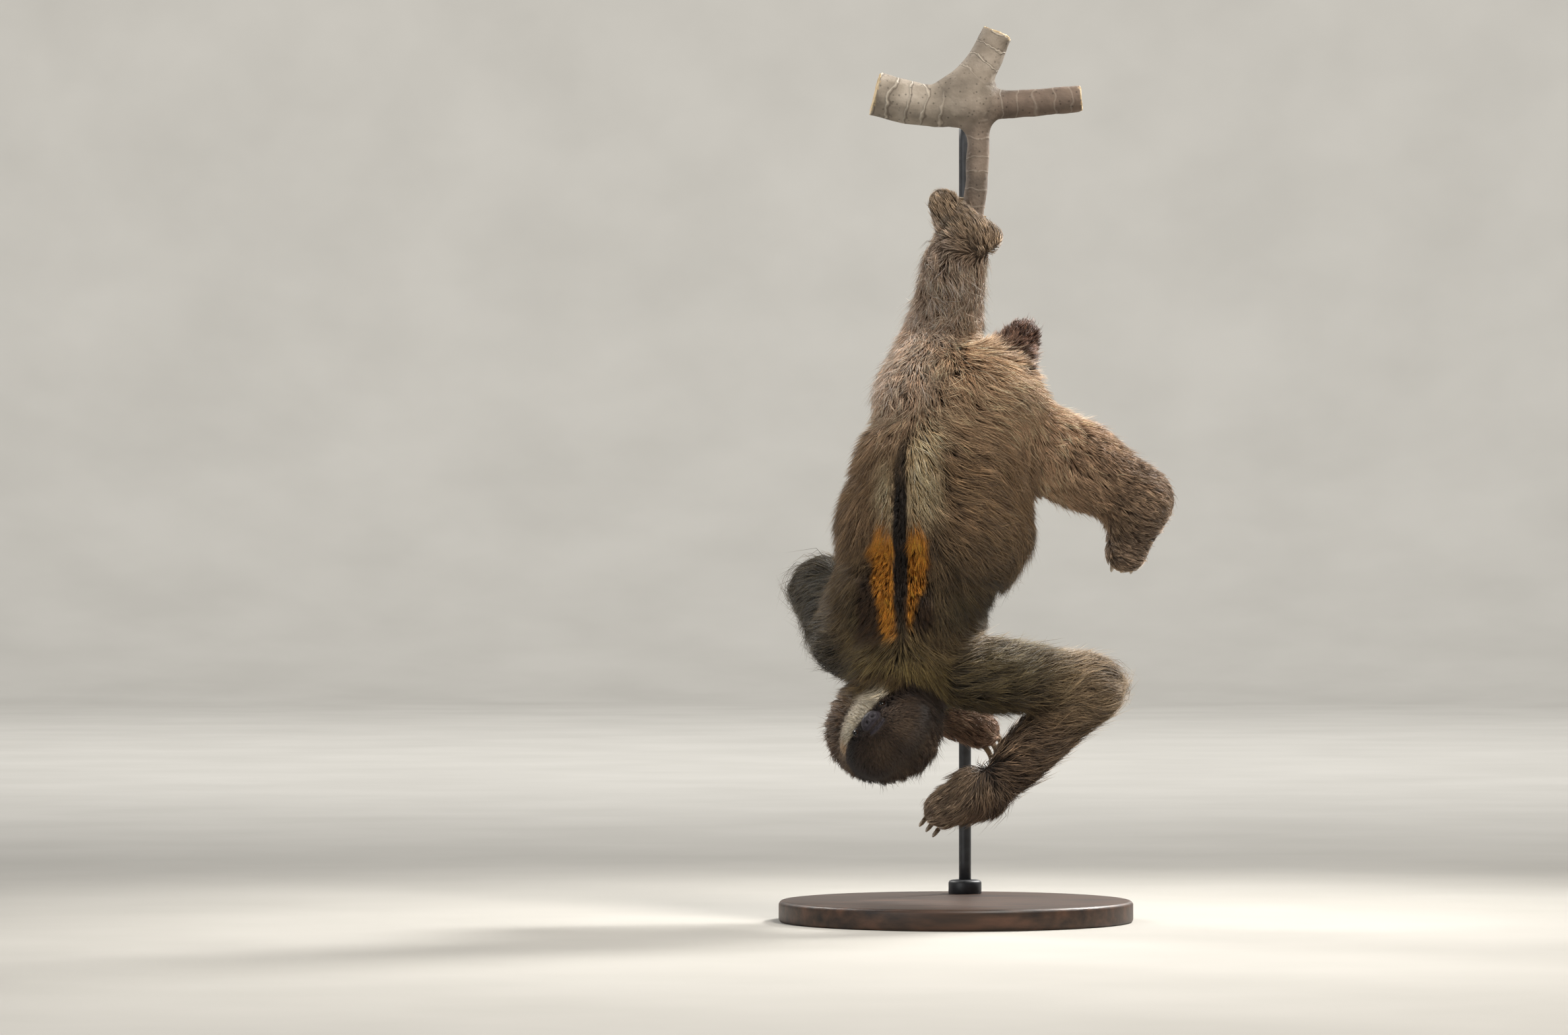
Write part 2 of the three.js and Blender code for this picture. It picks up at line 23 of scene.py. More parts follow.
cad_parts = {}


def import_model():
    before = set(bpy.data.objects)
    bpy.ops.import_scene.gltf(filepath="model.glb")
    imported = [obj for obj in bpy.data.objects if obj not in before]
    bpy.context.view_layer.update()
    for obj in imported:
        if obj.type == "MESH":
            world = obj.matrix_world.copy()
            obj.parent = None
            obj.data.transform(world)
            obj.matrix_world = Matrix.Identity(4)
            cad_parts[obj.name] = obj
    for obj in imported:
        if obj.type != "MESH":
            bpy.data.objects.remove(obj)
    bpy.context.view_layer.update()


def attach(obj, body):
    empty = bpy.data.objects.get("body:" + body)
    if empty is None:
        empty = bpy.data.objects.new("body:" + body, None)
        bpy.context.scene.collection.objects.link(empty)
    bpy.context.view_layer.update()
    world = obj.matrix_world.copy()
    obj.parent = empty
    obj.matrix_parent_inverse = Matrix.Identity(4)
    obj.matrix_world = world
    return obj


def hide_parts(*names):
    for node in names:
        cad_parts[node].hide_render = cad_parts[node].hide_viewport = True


LOG = logging.getLogger("sloth")
Array = np.ndarray
Field = Callable[[Array], Array]
Socket = bpy.types.NodeSocket
Triple = tuple[float, float, float]
Shape = tuple[Array, list[Array]]  # vertices, and faces as one array for each number of corners

MM = 0.001
BODY_SHIFT = np.array([0.0, -50.0, 0.0])  # from the animal's frame to the shared one, millimetres
TURN = 2 * math.pi
PICTURE = (2376, 1568)  # the picture's width and height in pixels


# ---- small helpers ----


def place(x: float, y: float, z: float) -> Array:
    """A point of the animal's frame in millimetres, as a point of the shared frame in metres."""
    return (np.array([x, y, z], float) + BODY_SHIFT) * MM


def unit(v: Array) -> Array:
    """Vectors along the last axis, each scaled to length one."""
    v = np.asarray(v, float)
    return v / np.maximum(np.linalg.norm(v, axis=-1, keepdims=True), 1e-12)


def smooth(low: float, high: float, x: Array) -> Array:
    """A soft step: 0 below low, 1 above high, 3t² - 2t³ between them."""
    t = np.clip((x - low) / (high - low), 0.0, 1.0)
    return t * t * (3 - 2 * t)


def band(x: Array, low: Array | float, high: Array | float, soft: float) -> Array:
    """1 between low and high, falling to 0 over the softness on each side."""
    t = np.clip((np.minimum(x - low, high - x) + soft) / (2 * soft), 0.0, 1.0)
    return t * t * (3 - 2 * t)


def away(p: Array, q: Array) -> Array:
    """How far points are from a point."""
    return np.linalg.norm(p - q, axis=1)


def linear(hex_code: str) -> Array:
    """An sRGB hex colour as three linear values."""
    s = np.array([int(hex_code[i : i + 2], 16) for i in (1, 3, 5)]) / 255
    return np.where(s <= 0.04045, s / 12.92, ((s + 0.055) / 1.055) ** 2.4)


def ripple(p: Array, size: float, seed: int) -> Array:
    """Smooth noise from about -1 to 1: eight sine waves about `size` long in seeded directions.

    Args:
        p: n by 3 points.
        size: the waves' length.
        seed: the number that sets the directions.

    Returns:
        n values.
    """
    rng = np.random.default_rng(seed)
    ways = unit(rng.normal(size=(8, 3))) * (TURN / size) * rng.uniform(0.6, 1.5, (8, 1))
    return np.sin(p @ ways.T + rng.uniform(0, TURN, 8)).mean(1) * 1.8


# ---- the anatomy ----

SPINE = {
    "rump": place(22, 8, 586),
    "loin": place(-11, 4, 514),
    "belly": place(-24, 6, 448),
    "chest": place(-54, 4, 366),
    "withers": place(-62, 2, 318),
}
TAIL = (place(56, 16, 626), place(74, 26, 658))
HIP_L, KNEE_L, ANKLE_L = place(60, 4, 549), place(144, 20, 512), place(202, 28, 478)
HIP_R, KNEE_R, ANKLE_R = place(-36, 10, 590), place(-14, 40, 668), place(-2, -10, 742)
FOOT_L = (place(206, 28, 470), place(218, 30, 481), place(191, 34, 418))
FOOT_R = (place(10, -25, 768), place(36, -24, 768), place(-15, -18, 806))
SHOULDER_L, ELBOW_L, WRIST_L = place(0, 2, 286), place(149, 22, 263), place(36, 25, 150)
SHOULDER_R, ELBOW_R, WRIST_R = place(-112, 26, 322), place(-146, 165, 372), place(-48, 146, 250)
HAND_L = (place(18, 25, 146), place(-14, 28, 128))
HAND_R = (place(-40, 144, 244), place(30, 122, 214))

HEAD_AT = place(-79, -16, 214)
FORWARD = unit(np.array([-0.41, -0.84, 0.354]))
LEFT = unit(np.cross(np.array([-0.64, 0.545, 0.546]), FORWARD))
CROWN = np.cross(FORWARD, LEFT)
HEAD_AXES = np.stack([FORWARD, LEFT, CROWN])
BLEND = 20 * MM


def in_head(ahead: float, left: float, up: float) -> Array:
    """A point of the head's own frame in millimetres, as a point of the shared frame."""
    return HEAD_AT + (np.array([ahead, left, up]) * MM) @ HEAD_AXES


def head_place(p: Array) -> Array:
    """Points of the shared frame as millimetres ahead, left and up in the head's own frame."""
    return (p - HEAD_AT) @ HEAD_AXES.T / MM


@dataclass(frozen=True)
class Bar:
    """A tapered bar of flesh between two points; radii in millimetres."""

    start: Array
    end: Array
    start_radius: float
    end_radius: float

    def distance(self, p: Array) -> Array:
        """The distance from its surface, |p - q| - r(t), with q the nearest point of the axis.

        Args:
            p: n by 3 points.

        Returns:
            n distances, below zero inside.
        """
        along = self.end - self.start
        t = np.clip((p - self.start) @ along / (along @ along), 0.0, 1.0)
        gap = np.linalg.norm(p - self.start - t[:, None] * along, axis=1)
        return gap - (self.start_radius + (self.end_radius - self.start_radius) * t) * MM


@dataclass(frozen=True)
class Egg:
    """An egg of flesh: its centre, its radii in millimetres and its three square axes."""

    centre: Array
    radii: Triple
    axes: Array

    def distance(self, p: Array) -> Array:
        """The distance near its surface, k(k - 1)/|grad k|, with k the scaled radius.

        Args:
            p: n by 3 points.

        Returns:
            n distances, below zero inside.
        """
        q = (p - self.centre) @ self.axes.T
        r = np.array(self.radii) * MM
        k = np.linalg.norm(q / r, axis=1)
        slope = np.linalg.norm(q / r**2, axis=1)
        return np.where(k < 0.01, -r.min(), k * (k - 1) / np.maximum(slope, 1e-9))


@dataclass(frozen=True)
class Part:
    """A part of the body: its flesh and how its coat grows. Lengths in millimetres."""

    name: str
    shapes: tuple[Bar | Egg, ...]
    depth: float
    length: float
    width: float
    mess: float
    axis: tuple[Array, Array]


def egg(centre: Array, radii: Triple) -> Egg:
    """An egg square to the shared frame."""
    return Egg(centre, radii, np.eye(3))


def head_egg(centre: Triple, radii: Triple) -> Egg:
    """An egg of the head, square to the head's own frame."""
    return Egg(in_head(*centre), radii, HEAD_AXES)


def paw(ends: tuple[Array, ...], radii: tuple[float, ...]) -> tuple[Bar, ...]:
    """A bar to the toes and, for a foot, one to the heel.

    Args:
        ends: the start, the heel where there is one, and the toes.
        radii: each bar's radii in millimetres.

    Returns:
        The bars.
    """
    if len(ends) == 2:
        return (Bar(ends[0], ends[1], radii[0], radii[1]),)
    return (Bar(ends[0], ends[2], radii[0], radii[1]), Bar(ends[0], ends[1], radii[2], radii[3]))


PARTS = (
    Part(
        "trunk",
        (
            egg(SPINE["rump"], (84, 76, 76)),
            egg(SPINE["loin"], (110, 86, 88)),
            egg(SPINE["belly"], (118, 92, 104)),
            egg(SPINE["chest"], (96, 80, 92)),
        ),
        23, 42, 1.0, 0.3, (SPINE["rump"], SPINE["withers"]),
    ),
    Part("neck", (Bar(SPINE["withers"], in_head(-22, 8, -4), 68, 50),),
         22, 38, 1.0, 0.3, (SPINE["withers"], HEAD_AT)),
    Part(
        "head",
        (
            head_egg((-12, -1, 17), (58, 66, 66)),
            head_egg((18, 0, -8), (32, 47, 40)),
            head_egg((20, 30, -20), (24, 22, 27)),
            head_egg((20, -30, -20), (24, 22, 27)),
            head_egg((38, 0, -13), (21, 21, 16)),
            head_egg((22, 0, -30), (24, 27, 20)),
        ),
        14, 19, 0.85, 0.15, (HEAD_AT - FORWARD * 0.05, HEAD_AT + FORWARD * 0.05),
    ),
    Part("tail", (Bar(*TAIL, 34, 23.5),), 9, 17, 0.95, 0.2, TAIL),
    Part("thigh_left", (Bar(HIP_L, KNEE_L, 60, 46),), 15, 25, 0.95, 0.28, (HIP_L, KNEE_L)),
    Part("shank_left", (Bar(KNEE_L, ANKLE_L, 46, 39),), 9, 17, 0.95, 0.15, (KNEE_L, ANKLE_L)),
    Part("foot_left", paw(FOOT_L, (33, 25, 27, 15)), 4.5, 10, 0.8, 0.08, (FOOT_L[0], FOOT_L[2])),
    Part("thigh_right", (Bar(HIP_R, KNEE_R, 64, 44),), 18, 34, 1.0, 0.55, (HIP_R, KNEE_R)),
    Part("shank_right", (Bar(KNEE_R, ANKLE_R, 43, 39),), 13, 28, 0.95, 0.7, (KNEE_R, ANKLE_R)),
    Part("foot_right", paw(FOOT_R, (29, 19, 26, 16)), 4.5, 11, 0.8, 0.08, (FOOT_R[0], FOOT_R[2])),
    Part("upper_arm_left", (Bar(SHOULDER_L, ELBOW_L, 51, 39),),
         20, 46, 1.0, 0.38, (SHOULDER_L, ELBOW_L)),
    Part("forearm_left", (Bar(ELBOW_L, WRIST_L, 39, 32),), 15, 34, 1.0, 0.24, (ELBOW_L, WRIST_L)),
    Part("hand_left", paw(HAND_L, (30, 24)), 6, 15, 0.85, 0.15, HAND_L),
    Part("upper_arm_right", (Bar(SHOULDER_R, ELBOW_R, 58, 42),),
         20, 42, 1.1, 0.36, (SHOULDER_R, ELBOW_R)),
    Part("forearm_right", (Bar(ELBOW_R, WRIST_R, 40, 31),), 15, 30, 1.15, 0.36, (ELBOW_R, WRIST_R)),
    Part("hand_right", paw(HAND_R, (28, 23)), 6, 14, 0.9, 0.2, HAND_R),
)
PART_AT = {part.name: i for i, part in enumerate(PARTS)}

EYE_SIDE, EYE_UP, EYE_SUNK = 20.5, 1.0, 7.6
NOSE_RADII = (6.5, 11.5, 7.5)
NOSE_UP, NOSE_SUNK = -4.5, 4.6
MOUTH_UP = -19.5
BROW_EDGE = 8.4  # how far up the dark mask meets the pale brow


def union(a: Array, b: Array, fillet: float = BLEND) -> Array:
    """Two distances joined with a rounded fillet: min(a, b) - h²k/4, with h = max(k - |a - b|, 0)/k.

    Args:
        a: n distances.
        b: n distances.
        fillet: the fillet's size k; the flesh's own when it isn't given.

    Returns:
        n distances.
    """
    h = np.maximum(fillet - np.abs(a - b), 0) / fillet
    return np.minimum(a, b) - h * h * fillet / 4


def slope_of(field: Field, p: Array, step: float = 0.5 * MM) -> Array:
    """The field's slope by forward differences."""
    here = field(p)
    return np.stack([field(p + step * axis) - here for axis in np.eye(3)], 1) / step


class Flesh:
    """The smooth field of flesh, out to the tips of the coat and down to the skin."""

    def __init__(self) -> None:
        """Sets the eyes' and the nose's middles in the face."""
        self.eyes = {side: self._on_face(side * EYE_SIDE, EYE_UP, EYE_SUNK) for side in (-1, 1)}
        self.nose = self._on_face(0.0, NOSE_UP, NOSE_SUNK)

    @staticmethod
    def eye_axis(side: int) -> Array:
        """The way an eye looks: ahead, out to its side and a little up."""
        return unit(FORWARD + 0.42 * side * LEFT + 0.1 * CROWN)

    def _on_face(self, left: float, up: float, sunk: float) -> Array:
        """The point of the coat's face straight ahead of a place in the head, sunk below it.

        Args:
            left: how far left of the middle, millimetres.
            up: how far towards the crown, millimetres.
            sunk: how far below the coat's face, millimetres.

        Returns:
            The point in metres.
        """
        ahead = np.linspace(0, 100, 1001)
        points = np.array([in_head(a, left, up) for a in ahead])
        out = np.argmax(self.distances(points)[:, PART_AT["head"]] > 0)
        return in_head(ahead[out] - sunk, left, up)

    def distances(self, p: Array) -> Array:
        """The distance from each part of the body, one column a part.

        Args:
            p: n by 3 points.

        Returns:
            n rows of distances in metres.
        """
        out = np.empty((len(p), len(PARTS)))
        for i, part in enumerate(PARTS):
            d = part.shapes[0].distance(p)
            for shape in part.shapes[1:]:
                d = union(d, shape.distance(p))
            out[:, i] = d
        return out

    @staticmethod
    def whole(distances: Array) -> Array:
        """The distance from all the parts melted together.

        Args:
            distances: one column a part.

        Returns:
            n distances, below zero inside.
        """
        total = distances[:, 0]
        for i in range(1, distances.shape[1]):
            total = union(total, distances[:, i])
        return total

    @staticmethod
    def shares(distances: Array, reach: float = 9 * MM) -> Array:
        """How much of each part is in a point: softened by e^(-d/reach), each row adding to one."""
        near = np.exp(-(distances - distances.min(1, keepdims=True)) / reach)
        return near / near.sum(1, keepdims=True)

    def depth(self, p: Array, shares: Array) -> Array:
        """The coat's depth in metres, thin on the face and over the stripe of the back.

        Args:
            p: n by 3 points.
            shares: how much of each part is in them.

        Returns:
            n depths.
        """
        depth = shares @ np.array([part.depth for part in PARTS])
        ahead, left, up = head_place(p).T
        face = smooth(-30, -6, ahead) * (1 - smooth(24, 44, up + 0.006 * left**2 * (up > 0)))
        thin = 3.0 + 7 * (1 - smooth(-12, 36, ahead))
        head = shares[:, PART_AT["head"]]
        depth = depth + head * face * (thin - depth)
        stripe = Markings.stripe(p)
        return (depth - 7.0 * stripe * shares[:, PART_AT["trunk"]]) * MM

    @staticmethod
    def form(p: Array) -> Array:
        """How far the face's forms sink below the flesh: sockets, muzzle's sides, chin, less the brow.

        Args:
            p: n by 3 points.

        Returns:
            n depths in metres.
        """
        ahead, left, up = head_place(p).T
        aside = np.abs(left)
        socket = np.exp(-(((aside - EYE_SIDE) / 8.5) ** 2) - ((up - EYE_UP - 0.5) / 6.5) ** 2)
        ring = np.hypot(left / 1.1, up - NOSE_UP + 4)
        beside = np.exp(-(((ring - 21) / 4.5) ** 2)) * smooth(-22, -12, up)
        bridge = np.exp(-((left / 9) ** 2) - ((up - NOSE_UP - 13) / 6) ** 2)
        brow = np.exp(-(((aside - 19) / 11) ** 2) - ((up - EYE_UP - 12) / 5) ** 2)
        chin = np.exp(-((left / 15) ** 2) - ((up - MOUTH_UP + 10) / 4) ** 2)
        sunk = 3.0 * socket + 2.4 * beside + 1.6 * bridge - 1.6 * brow + 1.4 * chin
        return sunk * smooth(8, 24, ahead) * MM

    def sink(self, p: Array, shares: Array) -> Array:
        """How far the skin lies inside the flesh: the coat's depth and the face's forms."""
        return self.depth(p, shares) + shares[:, PART_AT["head"]] * self.form(p)

    def cover(self, p: Array) -> Array:
        """The skin's field: the flesh's less the coat's depth, with the face's features carved.

        Args:
            p: n by 3 points.

        Returns:
            n distances, below zero inside.
        """
        d = self.distances(p)
        skin = self.whole(d) + self.sink(p, self.shares(d))
        near = away(p, in_head(30, 0, -6)) < 0.075
        if near.any():
            skin[near] = self._features(p[near], skin[near])
        return skin

    def _features(self, p: Array, skin: Array) -> Array:
        """The face's lids, sockets, nose bridge, nostril fold and mouth, carved in the skin.

        Args:
            p: n by 3 points.
            skin: the plain skin's distances there.

        Returns:
            The distances with the features.
        """
        ahead, left, up = head_place(p).T
        for side, eye in self.eyes.items():
            axis = self.eye_axis(side)
            rel = p - eye
            r = np.linalg.norm(rel, axis=1)
            out = rel @ axis
            right = unit(np.cross(CROWN, axis))
            x, z = rel @ right, rel @ np.cross(axis, right)
            skin = union(skin, r - 6.8 * MM, 3 * MM)
            crow = np.exp(-(((z - 4.3 * MM) / (0.7 * MM)) ** 2)) * band(x, -6 * MM, 6 * MM, 2 * MM)
            skin = skin + 0.6 * MM * crow * (out > 0)
            slit = (np.hypot(x / (4.3 * MM), (z + 0.4 * MM) / (2.5 * MM)) - 1) * 2.5 * MM
            hole = np.maximum(np.maximum(slit, 5.0 * MM - r), -out)
            skin = np.maximum(skin, -hole)
        pad = tuple(np.array(NOSE_RADII) - 2.6)
        skin = union(skin, Egg(self.nose, pad, HEAD_AXES).distance(p), 4 * MM)
        crease = up - MOUTH_UP - 0.020 * left**2
        front = smooth(10, 24, ahead)
        lips = np.exp(-((crease / 0.9) ** 2)) * band(left, -13, 13, 2.5) * front
        swell = np.exp(-(((crease - 3.6) / 2.6) ** 2)) * band(left, -15, 15, 4) * front
        lower = np.exp(-(((crease + 3.4) / 2.4) ** 2)) * band(left, -12, 12, 4) * front
        fold = np.exp(-((np.abs(left) - 14.5 - 0.25 * (up - NOSE_UP)) ** 2) / 6) * band(up, -18, -2, 3)
        fold = fold * smooth(25, 40, ahead)
        return skin + (1.9 * lips - 1.0 * swell - 0.7 * lower + 0.9 * fold) * MM


# ---- markings ----


class Markings:
    """The colours of the coat and skin, as functions of the place on the body."""

    # Each part's shades hold painted light as well as the coat's own colour: the thighs, the gripping leg's
    # shank and the right hand are lightened as painted light, and the arms are darkened as painted shade, as
    # the light falls from above.
    FUR = {
        "trunk": ("#5c4734", "#bb9973"),
        "neck": ("#54452a", "#ae985c"),
        "head": ("#463528", "#91755c"),
        "tail": ("#3a251b", "#684630"),
        "thigh_left": ("#9b795c", "#fad2ac"),
        "shank_left": ("#634e3c", "#b29272"),
        "foot_left": ("#776250", "#c4a88b"),
        "thigh_right": ("#d2ae90", "#fff4e4"),
        "shank_right": ("#8f755f", "#f8e0ca"),
        "foot_right": ("#6e5a46", "#b29878"),
        "upper_arm_left": ("#31281b", "#6a5b3a"),
        "forearm_left": ("#493a2e", "#977b5f"),
        "hand_left": ("#75614f", "#c9ae90"),
        "upper_arm_right": ("#211b11", "#51452a"),
        "forearm_right": ("#3a3022", "#74603f"),
        "hand_right": ("#806655", "#d2b095"),
    }

    @staticmethod
    def spine_x(z: Array) -> Array:
        """The stripe's middle in millimetres at a height, straight up the back, then to the rump."""
        return np.interp(z, [300, 480, 520, 560, 630, 700], [-64, -65, -66, -52, -22, 6])

    @staticmethod
    def flat(p: Array) -> tuple[Array, Array, Array]:
        """Millimetres across, up and behind, with the edges of the marks made uneven.

        Args:
            p: n by 3 points.

        Returns:
            Across, up and behind.
        """
        x = p[:, 0] / MM + 2.6 * ripple(p, 26 * MM, 11) + 1.5 * ripple(p, 9 * MM, 12)
        z = p[:, 2] / MM + 5.0 * ripple(p, 30 * MM, 13)
        return x, z, p[:, 1] / MM

    @classmethod
    def stripe(cls, p: Array) -> Array:
        """The dark stripe down the middle of the back, widest between the shoulders.

        Args:
            p: n by 3 points.

        Returns:
            Its strength, 0 to 1.
        """
        _, z, y = cls.flat(p)
        half = np.interp(z, [312, 330, 440, 500, 560, 630], [4, 7.5, 8, 6.5, 5, 3])
        strong = np.interp(z, [306, 322, 480, 520, 560, 640], [0, 1, 1, 0.75, 0.3, 0])
        x = p[:, 0] / MM + 1.2 * ripple(p, 34 * MM, 14)
        return band(np.abs(x - cls.spine_x(z)), -1, half, 1.6) * strong * (y < -40)

    @classmethod
    def speculum(cls, p: Array) -> Array:
        """The orange patches on both sides of the stripe.

        Args:
            p: n by 3 points.

        Returns:
            Their strength, 0 to 1.
        """
        x, z, y = cls.flat(p)
        left = band(x, np.interp(z, [312, 380, 420, 446], [-82, -94, -99, -92]), -70, 3.5)
        right = band(x, -60, np.interp(z, [326, 366, 380, 420, 446], [-52, -45, -36, -34, -42]), 3.5)
        both = left * band(z, 322, 440, 12) + right * band(z, 334, 440, 12)
        return np.clip(both, 0, 1) * (y < -30)

    @classmethod
    def spots(cls, p: Array) -> Array:
        """The dark brown spots that flank the orange.

        Args:
            p: n by 3 points.

        Returns:
            Their strength, 0 to 1.
        """
        x, z, y = cls.flat(p)
        left = band(x, -112, -86, 5) * band(z, 314, 392, 12)
        right = band(x, -48, -28, 5) * band(z, 328, 370, 9) + band(x, -42, -31, 3) * band(z, 396, 412, 5)
        return np.clip(left + right, 0, 1) * (y < -30)

    @classmethod
    def patches(cls, p: Array) -> Array:
        """The short hair of the stripe, the orange and the spots."""
        return np.clip(cls.stripe(p) + cls.speculum(p) + cls.spots(p), 0, 1)

    @classmethod
    def pale(cls, p: Array) -> Array:
        """The pale hair on both sides of the stripe above the orange.

        Args:
            p: n by 3 points.

        Returns:
            Its strength, 0 to 1.
        """
        x, z, y = cls.flat(p)
        off = x - cls.spine_x(z)
        right = band(off, 9, 44, 15) * band(z, 450, 552, 34)
        left = band(-off, 9, 25, 9) * band(z, 440, 512, 26)
        return np.clip(right + 0.8 * left, 0, 1) * (y < -30)

    @staticmethod
    def tail_root(p: Array) -> Array:
        """How near a point is to the tail, where the rump's long hair gives way to the tail's."""
        return 1 - smooth(0.0, 9 * MM, PARTS[PART_AT["tail"]].shapes[0].distance(p))

    @staticmethod
    def brow(p: Array) -> tuple[Array, Array]:
        """The pale band over the eyes.

        Args:
            p: n by 3 points.

        Returns:
            Its strength, and how far it turns orange at its ends, both 0 to 1.
        """
        ahead, left, up = head_place(p).T
        left = left + 1.2 * ripple(p, 8 * MM, 21)
        up = up + 1.0 * ripple(p, 7 * MM, 22)
        inner = BROW_EDGE - 0.0030 * left**2
        outer = 29.5 - 0.0080 * left**2
        strong = band(left, -46, 37, 4) * smooth(-14, 0, ahead)
        pale = smooth(-1.2, 1.2, up - inner) * (1 - smooth(-11, 11, up - outer))
        return pale * strong, smooth(33, 44, np.abs(left))

    @staticmethod
    def mask(p: Array) -> Array:
        """The dark fur of the face, below the pale band and round the muzzle.

        Args:
            p: n by 3 points.

        Returns:
            Its strength, 0 to 1.
        """
        ahead, left, up = head_place(p).T
        edge = BROW_EDGE - 0.0030 * left**2
        return (1 - smooth(-2, 2, up - edge)) * smooth(-54, -38, ahead)

    @staticmethod
    def bare(p: Array) -> Array:
        """The bare bluish skin of the nose bridge, down to the lips.

        Args:
            p: n by 3 points.

        Returns:
            Its strength, 0 to 1.
        """
        ahead, left, up = head_place(p).T
        wide = 15.0 - 0.5 * np.abs(up - NOSE_UP)
        muzzle = band(left, -wide, wide, 1.8) * band(up, NOSE_UP - 10, NOSE_UP + 11, 2.5)
        crease = up - MOUTH_UP - 0.020 * left**2
        lips = band(left, -12, 12, 2) * band(crease, -2.6, 2.6, 1.2)
        return np.maximum(muzzle, lips) * smooth(24, 36, ahead)

    @classmethod
    def fur(cls, p: Array, shares: Array) -> tuple[Array, Array]:
        """The colours in the hair's lower half and at its tip, linear.

        Args:
            p: n by 3 points.
            shares: how much of each part is in them.

        Returns:
            Two sets of n by 3 linear colours.
        """
        body, ends = (shares @ np.stack([linear(cls.FUR[part.name][i]) for part in PARTS]) for i in (0, 1))

        def paint(amount: Array, low_hex: str, tip_hex: str) -> None:
            """Lays a pair of colours over what is there.

            Args:
                amount: how strongly, 0 to 1.
                low_hex: the hair's lower half.
                tip_hex: its tip.
            """
            nonlocal body, ends
            a = amount[:, None]
            body = body * (1 - a) + linear(low_hex) * a
            ends = ends * (1 - a) + linear(tip_hex) * a

        patch = ripple(p, 70 * MM, 31)
        trunk = shares[:, PART_AT["trunk"]]
        height = p[:, 2] / MM
        olive_and_shade = np.clip(trunk * (1 - smooth(330, 470, height) + 0.25 * np.maximum(patch, 0)), 0, 1)
        # the green cast of the shoulders, darkened there as painted shade; the pale rump, brightened further
        # as painted light from above; the tail; and the paler elbow
        paint(0.9 * olive_and_shade, "#2d261a", "#62563a")
        paint(0.9 * trunk * smooth(500, 630, height), "#aa8462", "#ffe0ba")
        paint(cls.tail_root(p), "#3a251b", "#684630")
        elbow = np.exp(-((away(p, ELBOW_L) / (48 * MM)) ** 2))
        paint(0.75 * elbow, "#75624c", "#cdb08a")
        # the back's pale hair, dark spots, orange patch and stripe
        paint(cls.pale(p) * trunk * 0.92, "#b5996e", "#fff0cc")
        paint(cls.spots(p) * 0.9, "#33231a", "#4b3624")
        paint(cls.speculum(p), "#ad6d20", "#f0a640")
        paint(cls.stripe(p) * trunk, "#1c1510", "#2b2018")
        head = shares[:, PART_AT["head"]]
        _, left, up = head_place(p).T
        face = np.maximum(head, (away(p, HEAD_AT) < 74 * MM) * 0.85)
        # the brown hood round the face
        paint((face - head) * 0.9, "#3a2a1e", "#6b5137")
        mask = face * cls.mask(p)
        # the dark mask, with paler cheeks, a black rim that is partly its own colour and partly painted
        # shade round the face's edge, and a black stripe back from each eye
        # the black rim round the mask's edge is partly painted shade
        rim = smooth(40, 56, np.hypot(left, 0.95 * (up + 14)))
        paint(mask, "#32251f", "#4e3d33")
        cheek = np.exp(-(((np.abs(left) - 17) / 17) ** 2) - ((up + 38) / 15) ** 2)
        paint(mask * cheek * 0.9, "#574639", "#8c7660")
        paint(mask * rim * 0.7, "#1f1713", "#32251d")
        stripe = np.exp(-(((up - EYE_UP - 2.4 + 0.006 * left**2) / 6.5) ** 2))
        paint(mask * stripe * band(np.abs(left), 12, 58, 5) * 0.85, "#1b1310", "#2a1d17")
        # the pale brow, orange at its ends
        brow, turn = cls.brow(p)
        paint(face * brow * 0.92, "#dccaaa", "#fff6e2")
        paint(face * brow * turn * 0.85, "#a9733a", "#dba557")
        return body, ends

    @classmethod
    def skin(cls, p: Array, shares: Array) -> Array:
        """The skin's colour: the coat's own, darkened under its hair as painted shade that makes the gaps
        between tufts read as shadow, and bare on the nose.

        Args:
            p: n by 3 points.
            shares: how much of each part is in them.

        Returns:
            n by 3 linear colours.
        """
        body, _ = cls.fur(p, shares)
        paws = shares[:, [PART_AT[n] for n in PART_AT if n.startswith(("hand", "foot"))]].sum(1)
        face = shares[:, PART_AT["head"]] * smooth(10, 30, head_place(p)[:, 0])
        # painted shade under the coat, less on the paws and the face
        shade = 0.42 + 0.3 * paws + 0.4 * face
        color = body * shade[:, None]
        bare = (shares[:, PART_AT["head"]] * cls.bare(p))[:, None]
        color = color * (1 - bare) + linear("#2d282d") * bare
        for eye in FLESH.eyes.values():
            near = np.exp(-((away(p, eye) / (8 * MM)) ** 4))[:, None]
            color = color * (1 - near) + linear("#1c1513") * near
        return color


FLESH = Flesh()


# ---- the lie of the coat ----


